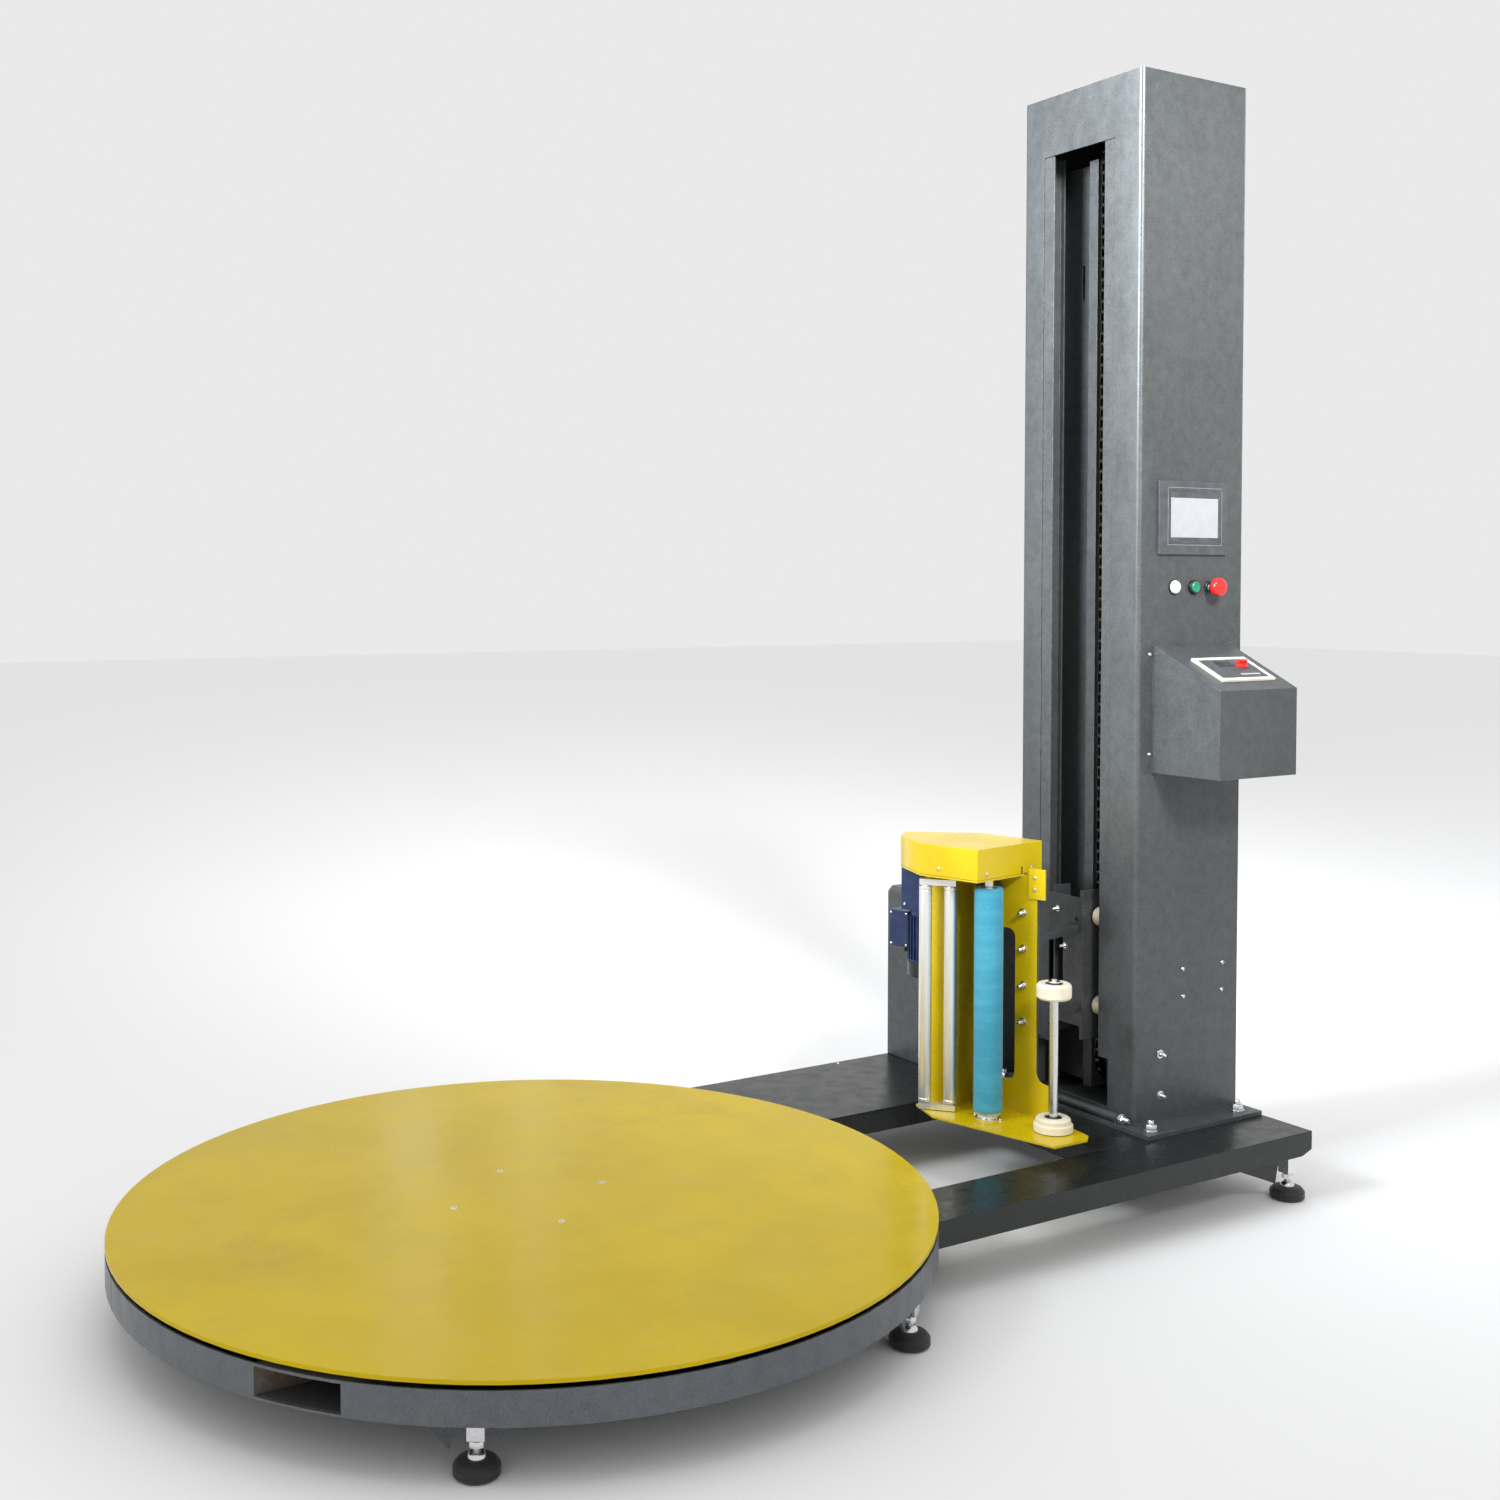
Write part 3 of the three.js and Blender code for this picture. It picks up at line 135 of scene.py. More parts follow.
class Surface:
    """One procedural material, built round a Principled shader."""

    def __init__(self, name, metallic=0.0, coat=0.0, coat_roughness=0.1):
        self.material = bpy.data.materials.new(name)
        self.material.use_nodes = True
        self.tree = self.material.node_tree
        self.shader = self.tree.nodes["Principled BSDF"]
        self.shader.inputs["Metallic"].default_value = metallic
        self.shader.inputs["Coat Weight"].default_value = coat
        self.shader.inputs["Coat Roughness"].default_value = coat_roughness
        self.place = self.tree.nodes.new("ShaderNodeTexCoord").outputs["Object"]

    def feed(self, socket, value):
        """Links a socket, or sets its number or colour."""
        if isinstance(value, bpy.types.NodeSocket):
            self.tree.links.new(value, socket)
        elif isinstance(value, tuple) and socket.type == "RGBA":
            socket.default_value = (*value, 1.0)
        else:
            socket.default_value = value

    def node(self, kind, inputs, **settings):
        made = self.tree.nodes.new(kind)
        for name, value in settings.items():
            setattr(made, name, value)
        for name, value in inputs.items():
            self.feed(made.inputs[name], value)
        return made

    def noise(self, scale, detail=3.0, stretch=(1.0, 1.0, 1.0), rough=0.5):
        place = self.node("ShaderNodeMapping", {"Vector": self.place, "Scale": stretch}).outputs[0]
        inputs = {"Vector": place, "Scale": scale, "Detail": detail, "Roughness": rough}
        return self.node("ShaderNodeTexNoise", inputs).outputs[0]

    def span(self, value, low, high, to_low=0.0, to_high=1.0):
        """Maps low..high to to_low..to_high, held at both ends."""
        inputs = {"Value": value, "From Min": low, "From Max": high, "To Min": to_low, "To Max": to_high}
        return self.node("ShaderNodeMapRange", inputs, interpolation_type="SMOOTHSTEP").outputs[0]

    def sum(self, a, b, operation="ADD"):
        return self.node("ShaderNodeMath", {0: a, 1: b}, operation=operation).outputs[0]

    def blend(self, factor, first, second):
        mix = self.tree.nodes.new("ShaderNodeMix")
        mix.data_type = "RGBA"
        for index, value in ((0, factor), (6, first), (7, second)):
            self.feed(mix.inputs[index], value)
        return mix.outputs[2]

    def corners(self, width):
        """1 along the edges of the shape, broken up by noise, and 0 elsewhere."""
        rounded = self.node("ShaderNodeBevel", {"Radius": width}, samples=4).outputs[0]
        normal = self.tree.nodes.new("ShaderNodeNewGeometry").outputs["Normal"]
        alike = self.node("ShaderNodeVectorMath", {0: rounded, 1: normal}, operation="DOT_PRODUCT")
        edge = self.span(alike.outputs["Value"], 0.99, 0.86)
        return self.sum(edge, self.span(self.noise(70, 4), 0.42, 0.62), "MULTIPLY")

    def colour(self, value):
        self.feed(self.shader.inputs["Base Color"], value)

    def roughness(self, value):
        self.feed(self.shader.inputs["Roughness"], value)

    def bump(self, height, distance, strength=1.0):
        inputs = {"Height": height, "Distance": distance, "Strength": strength}
        self.feed(self.shader.inputs["Normal"], self.node("ShaderNodeBump", inputs).outputs[0])


def grey_paint(name, light, dark, gloss, coat):
    """Sprayed metallic grey: fine flake, soft clouding, scuffed edges and an orange peel."""
    s = Surface(name, metallic=0.3, coat=coat, coat_roughness=0.2)
    clouds = s.sum(s.span(s.noise(1.8, 5), 0.25, 0.75), 0.3, "MULTIPLY")
    mottle = s.sum(s.span(s.noise(38, 5, rough=0.65), 0.25, 0.75), 0.3, "MULTIPLY")
    flake = s.sum(s.span(s.noise(330, 3), 0.3, 0.7), 0.4, "MULTIPLY")
    base = s.blend(s.sum(s.sum(clouds, mottle), flake), dark, light)
    worn = tuple(min(1.0, 1.9 * c) for c in light)
    s.colour(s.blend(s.corners(0.0016), base, worn))
    s.roughness(s.span(s.noise(26, 6, stretch=(1.0, 1.0, 0.3)), 0.2, 0.8, gloss, gloss + 0.18))
    s.bump(s.noise(240, 3), 0.00018, 0.4)
    return s.material


def turntable_paint():
    """Glossy yellow floor paint, cloudy with dust and tyre smears."""
    s = Surface("glossy yellow paint")
    s.shader.inputs["Specular IOR Level"].default_value = 0.10
    clouds = s.span(s.noise(4.0, 8, rough=0.6), 0.25, 0.75)
    base = s.blend(clouds, (0.560, 0.400, 0.003), (0.640, 0.465, 0.005))
    dust = s.span(s.noise(7.0, 9, stretch=(1.0, 0.5, 1.0), rough=0.68), 0.46, 0.80)
    dusty = s.blend(s.sum(dust, 0.34, "MULTIPLY"), base, (0.55, 0.45, 0.09))
    scuffs = s.span(s.noise(45, 9, rough=0.78), 0.58, 0.85)
    scuffed = s.blend(s.sum(scuffs, 0.4, "MULTIPLY"), dusty, (0.62, 0.55, 0.24))
    grime = s.span(s.noise(2.6, 6, rough=0.7), 0.52, 0.80)
    grimy = s.blend(s.sum(grime, 0.35, "MULTIPLY"), scuffed, (0.36, 0.25, 0.01))
    s.colour(s.blend(s.corners(0.002), grimy, (0.72, 0.58, 0.10)))
    s.roughness(s.span(s.sum(clouds, dust), 0.2, 1.4, 0.15, 0.30))
    s.bump(s.noise(90, 3), 0.00010, 0.35)
    return s.material


def head_paint():
    """The film head's brighter yellow powder coat."""
    s = Surface("yellow powder coat", coat=0.12, coat_roughness=0.1)
    s.shader.inputs["Specular IOR Level"].default_value = 0.35
    clouds = s.span(s.noise(9, 4), 0.25, 0.75)
    base = s.blend(clouds, (0.56, 0.41, 0.002), (0.64, 0.475, 0.006))
    s.colour(s.blend(s.corners(0.0012), base, (0.86, 0.74, 0.22)))
    s.roughness(s.span(s.noise(24, 5), 0.25, 0.75, 0.18, 0.34))
    s.bump(s.noise(420, 2), 0.00006, 0.4)
    return s.material


def metal(name, light, dark, roughness, grain=(1.0, 1.0, 1.0)):
    """Bare or plated metal, with a grain that can be drawn out along an axis."""
    s = Surface(name, metallic=1.0)
    lines = s.noise(300, 4, stretch=grain)
    s.colour(s.blend(s.span(lines, 0.3, 0.7), dark, light))
    s.roughness(s.span(s.noise(90, 4, stretch=grain), 0.3, 0.7, roughness, roughness + 0.07))
    s.bump(lines, 0.00001, 0.15)
    return s.material


def primer():
    """Bare inner walls: thin grey overspray on reddish primer, with specks of rust."""
    s = Surface("rusty primer")
    patches = s.span(s.noise(24, 7, rough=0.7), 0.3, 0.7)
    base = s.blend(patches, (0.085, 0.050, 0.036), (0.075, 0.070, 0.068))
    s.colour(s.blend(s.span(s.noise(90, 6), 0.5, 0.8), base, (0.20, 0.10, 0.06)))
    s.roughness(s.span(patches, 0.0, 1.0, 0.75, 0.5))
    s.bump(s.noise(300, 4), 0.0003, 0.5)
    return s.material


def galvanised():
    """Zinc-coated sheet with its crystal flowers."""
    s = Surface("galvanised sheet", metallic=0.9)
    cells = s.node("ShaderNodeTexVoronoi", {"Vector": s.place, "Scale": 90.0}).outputs["Color"]
    s.colour(s.blend(0.25, (0.50, 0.51, 0.52), cells))
    s.roughness(s.span(s.noise(60, 3), 0.3, 0.7, 0.32, 0.5))
    return s.material


def plastic(name, light, dark, gloss, grain=600, coat=0.0):
    """Moulded plastic: slight colour drift, a fine mould texture and rubbed edges."""
    s = Surface(name, coat=coat)
    base = s.blend(s.span(s.noise(30, 3), 0.3, 0.7), dark, light)
    rubbed = tuple(min(1.0, 1.35 * c + 0.01) for c in light)
    s.colour(s.blend(s.corners(0.0008), base, rubbed))
    s.roughness(s.span(s.noise(80, 4), 0.3, 0.7, gloss, gloss + 0.14))
    s.bump(s.noise(grain, 2), 0.00004, 0.5)
    return s.material


def ground_rubber(name, light, dark, dusty):
    """Rubber with a rough skin and a chalky bloom in level bands."""
    s = Surface(name)
    s.shader.inputs["Sheen Weight"].default_value = 0.15
    bands = s.span(s.noise(16, 5, stretch=(0.6, 0.6, 3.0)), 0.35, 0.7)
    base = s.blend(bands, dark, light)
    bloom = s.sum(s.span(s.noise(140, 5, rough=0.7), 0.52, 0.75), 0.5, "MULTIPLY")
    s.colour(s.blend(bloom, base, dusty))
    s.roughness(s.span(bands, 0.0, 1.0, 0.55, 0.72))
    s.bump(s.noise(900, 3), 0.00012, 0.6)
    return s.material


def screen_glass():
    """An unlit touch screen: pale, very smooth, with faint finger marks."""
    s = Surface("unlit screen", coat=0.6, coat_roughness=0.03)
    marks = s.span(s.noise(45, 5, rough=0.7), 0.35, 0.85)
    s.colour(s.blend(marks, (0.34, 0.35, 0.37), (0.38, 0.39, 0.41)))
    s.roughness(s.span(marks, 0.0, 1.0, 0.08, 0.20))
    return s.material


MATERIALS = {
    "mast_grey": grey_paint("grey paint", (0.108, 0.116, 0.119), (0.040, 0.044, 0.046), 0.32, 0.06),
    "ring_grey": grey_paint("ring paint", (0.150, 0.164, 0.178), (0.072, 0.080, 0.090), 0.30, 0.06),
    "beam_grey": grey_paint("beam paint", (0.026, 0.030, 0.030), (0.009, 0.011, 0.011), 0.20, 0.0),
    "turntable_yellow": turntable_paint(),
    "head_yellow": head_paint(),
    "bright_steel": metal("plated steel", (0.78, 0.78, 0.79), (0.66, 0.66, 0.67), 0.20),
    "galvanised": galvanised(),
    "chain_steel": metal("oiled chain", (0.120, 0.112, 0.100), (0.040, 0.036, 0.032), 0.28),
    "aluminium": metal("aluminium", (0.93, 0.94, 0.95), (0.84, 0.85, 0.86), 0.38, (1.0, 1.0, 0.05)),
    "nylon": plastic("cream nylon", (0.83, 0.76, 0.61), (0.74, 0.66, 0.50), 0.38),
    "blue_rubber": ground_rubber("blue rubber", (0.05, 0.33, 0.47), (0.03, 0.27, 0.40), (0.13, 0.41, 0.52)),
    "foot_black": ground_rubber("black rubber", (0.018, 0.018, 0.02), (0.008, 0.008, 0.009), (0.05,) * 3),
    "motor_blue": plastic("blue enamel", (0.014, 0.036, 0.125), (0.007, 0.018, 0.070), 0.30, coat=0.1),
    "black_plastic": plastic("black plastic", (0.020, 0.020, 0.022), (0.010, 0.010, 0.011), 0.32),
    "bezel_grey": plastic("dark grey plastic", (0.072, 0.078, 0.086), (0.048, 0.053, 0.060), 0.42, 900),
    "screen": screen_glass(),
    "white_lens": plastic("white lens", (0.92, 0.92, 0.92), (0.86, 0.86, 0.86), 0.14, coat=0.4),
    "green_plastic": plastic("green plastic", (0.008, 0.29, 0.15), (0.004, 0.20, 0.10), 0.18, coat=0.4),
    "red_plastic": plastic("red plastic", (0.660, 0.022, 0.018), (0.520, 0.012, 0.010), 0.18, coat=0.4),
    "cream_plastic": plastic("cream plastic", (0.76, 0.73, 0.63), (0.68, 0.65, 0.55), 0.35),
}
PRIMER = primer()

# ---------------------------------------------------------------- mesh helpers


WASHER_HEIGHT = 1.6
SHARP_ANGLE = math.radians(38)                 # edges that turn by more than this stay crisp


def facing(direction):
    """The rotation that turns +Z to a direction."""
    return direction.to_track_quat("Z", "Y").to_matrix().to_4x4()


def eased(points, radius=1.0, steps=3):
    """A profile whose inner corners are each replaced by a short curve."""
    points = [Vector(p) for p in points]
    smooth = [points[0]]
    for before, corner, after in zip(points, points[1:], points[2:]):
        start = corner + (before - corner).normalized() * min(radius, (before - corner).length * 0.45)
        end = corner + (after - corner).normalized() * min(radius, (after - corner).length * 0.45)
        for i in range(steps + 1):
            t = i / steps
            smooth.append(start.lerp(corner, t).lerp(corner.lerp(end, t), t))
    return [*smooth, points[-1]]


def add_turned(bm, profile, foot, axis=UP, steps=48):
    """Adds a round body from (radius, height) points in millimetres.

    The points start and end on its axis, or, for a body with a bore, both at one point of the bore.
    """
    place = Matrix.Translation(foot) @ facing(axis)
    rings = []
    for radius, height in profile:
        count = steps if radius > 1e-6 else 1
        turns = [2 * math.pi * i / steps for i in range(count)]
        ring = [Vector((radius * math.cos(a), radius * math.sin(a), height)) / 1000 for a in turns]
        rings.append([bm.verts.new(place @ point) for point in ring])
    for low, high in zip(rings, rings[1:]):
        for i in range(steps):
            j = (i + 1) % steps
            corners = [low[i % len(low)], low[j % len(low)], high[j % len(high)], high[i % len(high)]]
            unique = list(dict.fromkeys(corners))
            if len(unique) > 2:
                bm.faces.new(unique)


def add_prism(bm, outline, height, place):
    """Adds a flat outline in millimetres, extruded along +Z and then moved by a matrix."""
    bottom = [bm.verts.new(place @ (Vector((x, y, 0)) / 1000)) for x, y in outline]
    top = [bm.verts.new(place @ (Vector((x, y, height)) / 1000)) for x, y in outline]
    bm.faces.new(bottom[::-1])
    bm.faces.new(top)
    for i in range(len(outline)):
        j = (i + 1) % len(outline)
        bm.faces.new([bottom[i], bottom[j], top[j], top[i]])


def add_block(bm, centre, size, turn=0.0):
    """Adds a box, its size in millimetres, turned about its own upright axis."""
    x, y, z = (value / 2 for value in size)
    bottom = Matrix.Translation((0, 0, -z / 1000))
    place = Matrix.Translation(centre) @ Matrix.Rotation(turn, 4, "Z") @ bottom
    add_prism(bm, [(-x, -y), (x, -y), (x, y), (-x, y)], size[2], place)


def add_hex(bm, place, axis, across, height):
    """Adds a nut or bolt head with a turned crown."""
    radius = across / math.sqrt(3)
    crown = height * 0.82
    profile = [(0, 0), (radius, 0), (radius, crown), (radius * 0.87, height), (0, height)]
    add_turned(bm, profile, place, axis, 6)


def add_washer(bm, place, axis, radius, height=WASHER_HEIGHT):
    add_turned(bm, eased([(0, 0), (radius, 0), (radius, height), (0, height)], 0.4), place, axis, 28)


def add_bolt(bm, place, axis, across, height):
    """Adds a hexagon bolt head on its washer."""
    add_washer(bm, place, axis, across * 0.95)
    add_hex(bm, place + axis * WASHER_HEIGHT / 1000, axis, across, height)


def add_button_screw(bm, place, axis, radius, height=2.6):
    """Adds a domed screw head with a socket."""
    dome = [(0, 0), (radius, 0), (radius * 0.95, height * 0.45), (radius * 0.72, height * 0.85)]
    socket = [(radius * 0.45, height), (radius * 0.42, height * 0.35), (0, height * 0.25)]
    add_turned(bm, dome + socket, place, axis, 20)


def add_flush_screw(bm, place, axis, radius):
    """Adds a countersunk screw head, level with the surface, with a socket."""
    profile = [(0, -2.4), (radius * 0.6, -2.4), (radius, -0.3), (radius * 0.97, 0.1),
               (radius * 0.46, 0.1), (radius * 0.42, -1.8), (0, -2.0)]
    add_turned(bm, profile, place, axis, 28)


def add_thread(bm, place, axis, radius, length, pitch):
    """Adds a stud whose thread is a row of V-shaped ridges."""
    profile = [(0, 0)]
    for i in range(int(length / pitch)):
        profile.append((radius * 0.86, i * pitch))
        profile.append((radius, (i + 0.5) * pitch))
    profile += [(radius * 0.86, length), (0, length)]
    add_turned(bm, profile, place, axis, 24)


def piece(name, bm, slot, body, stands_for=(), bevel=0.0):
    """Makes a piece of the object from a bmesh: its finish, its shading and the body it rides on."""
    mesh = bpy.data.meshes.new(name)
    bm.normal_update()
    bm.to_mesh(mesh)
    bm.free()
    if "custom_normal" in mesh.attributes:
        mesh.attributes.remove(mesh.attributes["custom_normal"])
    mesh.materials.clear()
    mesh.materials.append(MATERIALS[slot])
    mesh.polygons.foreach_set("use_smooth", [True] * len(mesh.polygons))
    mesh.set_sharp_from_angle(angle=SHARP_ANGLE)
    made = bpy.data.objects.new(name, mesh)
    bpy.context.scene.collection.objects.link(made)
    if bevel:
        soft = made.modifiers.new("soft edges", "BEVEL")
        soft.width = bevel / 1000
        soft.segments = 2
        soft.limit_method = "ANGLE"
        soft.angle_limit = SHARP_ANGLE
        soft.use_clamp_overlap = True
        soft.harden_normals = True
    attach(made, body)
    if stands_for:
        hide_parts(*stands_for)
    return made


BODY_OF = {n: body for body, names in frame["record"]["behaviour"]["bodies"].items() for n in names}
SLOT_OF = {row["node"]: row["material_slot"] for row in frame["record"]["subparts"]}


def refined(node, bevel, slot=None, suffix="skin"):
    """Shows a CAD node as a finer copy: flat faces merged, and its edges softened by bevel millimetres."""
    bm = bmesh.new()
    bm.from_mesh(frame["nodes"][node].data)
    bmesh.ops.remove_doubles(bm, verts=bm.verts, dist=2e-5)
    bmesh.ops.dissolve_limit(bm, angle_limit=math.radians(0.6), verts=bm.verts, edges=bm.edges)
    return piece(f"{node}_{suffix}", bm, slot or SLOT_OF[node], BODY_OF[node], [node], bevel)


# ---------------------------------------------------------------- base and turntable

def build_base():
    """Base frame: painted parts, bare fork pockets, and the chain cover's screws."""
    for node, bevel in {"base_plate": 1.0, "base_ring": 0.8, "near_beam": 1.6, "far_beam": 1.6,
                        "chain_cover": 1.0, "rear_crossmember": 1.2}.items():
        refined(node, bevel)
    ring = bpy.data.objects["base_ring_skin"].data
    ring.materials.append(PRIMER)
    for face in ring.polygons:
        across, height = abs(face.center.y) * 1000, face.center.z * 1000
        inside = POCKET["y"][0] < across < POCKET["y"][1] and POCKET["z"][0] < height < POCKET["z"][1]
        if inside and abs(face.normal.x) < 0.5:
            face.material_index = 1
    low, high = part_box("chain_cover")
    screws = bmesh.new()
    for x in (low.x + 0.03, (low.x + high.x) / 2, high.x - 0.03):
        for y in (low.y + 0.012, high.y - 0.012):
            add_button_screw(screws, Vector((x, y, high.z)), UP, 4.0)
    piece("chain_cover_screws", screws, "bright_steel", "frame")


def build_foot(number):
    """Rubber pad with a swivel seat, then lock nut, threaded stud and square steel block."""
    node = f"levelling_foot_{number}"
    low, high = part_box(node)
    centre = Vector(((low.x + high.x) / 2, (low.y + high.y) / 2, 0))
    pad_radius = FOOT["pad"]
    pad = bmesh.new()
    profile = [(0, 0), (pad_radius - 5, 0), (pad_radius, 5), (pad_radius, 9), (pad_radius - 1.5, 10.5),
               (pad_radius, 12), (pad_radius, 19), (pad_radius - 7, 27),
               (20, FOOT["dome"]), (0, FOOT["dome"])]
    add_turned(pad, eased(profile, 2.0), centre, UP, 56)
    piece(f"foot_{number}_pad", pad, "foot_black", "frame", [node])

    hardware = bmesh.new()
    seat = centre + UP * (FOOT["dome"] - 1) / 1000
    swivel = [(0, 0), (16, 0), (16, 3), (14, 8), (10, 12), (0, 12)]
    add_turned(hardware, eased(swivel, 1.5), seat, UP, 32)
    block_bottom = FOOT["block_bottom"]
    stud_low = FOOT["dome"] + 8
    stud_length = block_bottom - stud_low
    add_thread(hardware, centre + UP * stud_low / 1000, UP, FOOT["stud"], stud_length, FOOT["thread"])
    add_hex(hardware, centre + UP * (block_bottom - 13) / 1000, UP, 2 * FOOT["nut"] * 0.86, 11)
    piece(f"foot_{number}_stud", hardware, "bright_steel", "frame")

    corners = [v.co for v in frame["nodes"][node].data.vertices if v.co.z > high.z - 1e-4]
    edge = max(corners, key=lambda co: (co - centre).to_2d().length) - centre
    turn = math.atan2(edge.y, edge.x) - math.pi / 4
    block = bmesh.new()
    half_height = (high.z * 1000 - block_bottom) / 2
    middle = centre + UP * (block_bottom + half_height) / 1000
    add_block(block, middle, (FOOT["block"], FOOT["block"], 2 * half_height), turn)
    piece(f"foot_{number}_block", block, "bright_steel", "frame", bevel=1.5)


def build_turntable():
    """Disc with its four countersunk screws, and the drive under and beside it."""
    refined("turntable_disc", 0.8)
    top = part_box("turntable_disc")[1].z
    screws = bmesh.new()
    for i in range(4):
        angle = math.radians(DISC_SCREWS["turn"] + 90 * i)
        reach = DISC_SCREWS["ring"]
        place = at(reach * math.cos(angle), reach * math.sin(angle), top * 1000)
        add_flush_screw(screws, place, UP, DISC_SCREWS["radius"])
    piece("turntable_screws", screws, "bright_steel", "turntable")
    refined("turntable_sprocket", 0.4)
    refined("drive_sprocket", 0.4)
    refined("drive_chain", 0.6)
    for i in range(1, 7):
        refined(f"support_roller_{i}", 0.8)
    refined("turntable_gearmotor", 2.0)
    refined("drive_cover", 2.0)


# ---------------------------------------------------------------- mast and lift

def build_mast():
    """Column, rails and the fixings on its side, on its foot and on its stop bar."""
    refined("mast_column", 1.2)
    refined("mast_rear_cover", 1.2)
    refined("guide_rail_near", 0.6)
    refined("guide_rail_far", 0.6)
    screws = bmesh.new()
    for x, z in MAST_SIDE_SCREWS:
        add_button_screw(screws, at(x, MAST_SIDE, z), OPERATOR, 5.4, 3.4)
    for x, z in MAST_SIDE_BOLTS:
        add_bolt(screws, at(x, MAST_SIDE, z), OPERATOR, 11, 6)
        add_thread(screws, at(x, MAST_SIDE - 7.6, z), OPERATOR, 3.8, 9, 1.2)
    piece("mast_side_screws", screws, "bright_steel", "frame")

    anchors = bmesh.new()
    for x, y in MAST_ANCHORS:
        place = at(x, y, MAST_FOOT_TOP)
        add_washer(anchors, place, UP, 17, 3)
        add_hex(anchors, place + UP * 0.003, UP, 24, 13)
        add_thread(anchors, place + UP * 0.016, UP, 7.5, 9, 2.0)
    piece("mast_anchor_bolts", anchors, "bright_steel", "frame")

    nuts = bmesh.new()
    for end, direction in (("near_end", OPERATOR), ("far_end", FAR_SIDE)):
        place = at(STOP_BAR["x"], STOP_BAR[end], STOP_BAR["z"])
        add_washer(nuts, place, direction, 12, 3)
        add_hex(nuts, place + direction * 0.003, direction, 17, 9)
        add_thread(nuts, place + direction * 0.012, direction, 5.5, 14, 1.5)
    piece("stop_bar_nuts", nuts, "bright_steel", "frame")


def chain_point(distance, low_z, high_z, radius, axis_x):
    """A point on the lift chain's loop, that far along it, in millimetres."""
    rise = high_z - low_z
    arc = math.pi * radius
    distance %= 2 * rise + 2 * arc
    if distance < rise:
        return Vector((axis_x - radius, low_z + distance))
    if distance < rise + arc:
        angle = math.pi - (distance - rise) / radius
        return Vector((axis_x + radius * math.cos(angle), high_z + radius * math.sin(angle)))
    if distance < 2 * rise + arc:
        return Vector((axis_x + radius, high_z - (distance - rise - arc)))
    angle = -(distance - 2 * rise - arc) / radius
    return Vector((axis_x + radius * math.cos(angle), low_z + radius * math.sin(angle)))


def add_link(bm, start, end, y, spread):
    """Adds one chain link between two pins: a plate on each side, and a roller on the first pin."""
    way = end - start
    half = way.length / 2
    waist = CHAIN["waist"]
    outline = []
    for centre, first in ((half, -90), (-half, 90)):
        for k in range(6):
            angle = math.radians(first + 36 * k)
            outline.append((centre + waist * math.cos(angle), waist * math.sin(angle)))
    middle = (start + end) / 2
    upright = Matrix.Rotation(math.pi / 2, 4, "X")
    along = Matrix.Rotation(-math.atan2(way.y, way.x), 4, "Y")
    for side in (-spread - CHAIN["plate"], spread):
        place = Matrix.Translation(at(middle.x, y + side + CHAIN["plate"], middle.y)) @ along @ upright
        add_prism(bm, outline, CHAIN["plate"], place)
    roller = [(0, 0), (CHAIN["roller"], 0), (CHAIN["roller"], 2 * spread), (0, 2 * spread)]
    add_turned(bm, roller, at(start.x, y - spread, start.y), FAR_SIDE, 12)


def build_lift():
    """Lift chain, link by link, with its sprockets and gearmotor and the control plate."""
    low, high = (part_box(f"lift_sprocket_{end}") for end in ("lower", "upper"))
    axis_x, low_z = ((low[0] + low[1]) / 2 - TABLE_AXIS).xz * 1000
    high_z = ((high[0] + high[1]) / 2).z * 1000
    radius = CHAIN["pitch"] / (2 * math.sin(math.pi / CHAIN["teeth"]))
    length = 2 * (high_z - low_z) + 2 * math.pi * radius
    count = 2 * round(length / CHAIN["pitch"] / 2)
    links = bmesh.new()
    for i in range(count):
        start = chain_point(length * i / count, low_z, high_z, radius, axis_x)
        end = chain_point(length * (i + 1) / count, low_z, high_z, radius, axis_x)
        add_link(links, start, end, CHAIN["y"], CHAIN["inner_spread" if i % 2 else "outer_spread"])
    piece("lift_chain_links", links, "chain_steel", "frame", ["lift_chain"])
    refined("lift_sprocket_lower", 0.4)
    refined("lift_sprocket_upper", 0.4)
    refined("lift_gearmotor", 2.0)
    refined("control_plate", 1.0)


# ---------------------------------------------------------------- operator's panel and console

def add_frame(bm, low, high, width, depth):
    """Adds four bars round a rectangle on the operator's side; low and high are its corners."""
    middle = (low + high) / 2
    long, tall = (high.x - low.x) * 1000, (high.z - low.z) * 1000
    for z in (low.z + width / 2000, high.z - width / 2000):
        add_block(bm, Vector((middle.x, low.y, z)), (long, depth, width))
    for x in (low.x + width / 2000, high.x - width / 2000):
        add_block(bm, Vector((x, low.y, middle.z)), (width, depth, tall - 2 * width))


def build_screen():
    """Touch screen: a dark bezel, a lighter inner frame with a bright line round it, and the glass."""
    refined("hmi_bezel", 2.4)
    refined("hmi_screen", 0.6)
    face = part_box("hmi_bezel")[0].y
    low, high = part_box("hmi_screen")
    low = Vector((low.x - SCREEN_FRAME["left"] / 1000, face, low.z - SCREEN_FRAME["below"] / 1000))
    high = Vector((high.x + SCREEN_FRAME["right"] / 1000, face, high.z + SCREEN_FRAME["above"] / 1000))
    line = bmesh.new()
    add_frame(line, low, high, SCREEN_FRAME["line"], 1.0)
    piece("hmi_bright_line", line, "galvanised", "frame")
    inner = bmesh.new()
    inset = Vector((1, 0, 1)) * SCREEN_FRAME["inset"] / 1000
    add_frame(inner, low + inset, high - inset, SCREEN_FRAME["bar"], 1.2)
    piece("hmi_inner_frame", inner, "mast_grey", "frame", bevel=0.3)


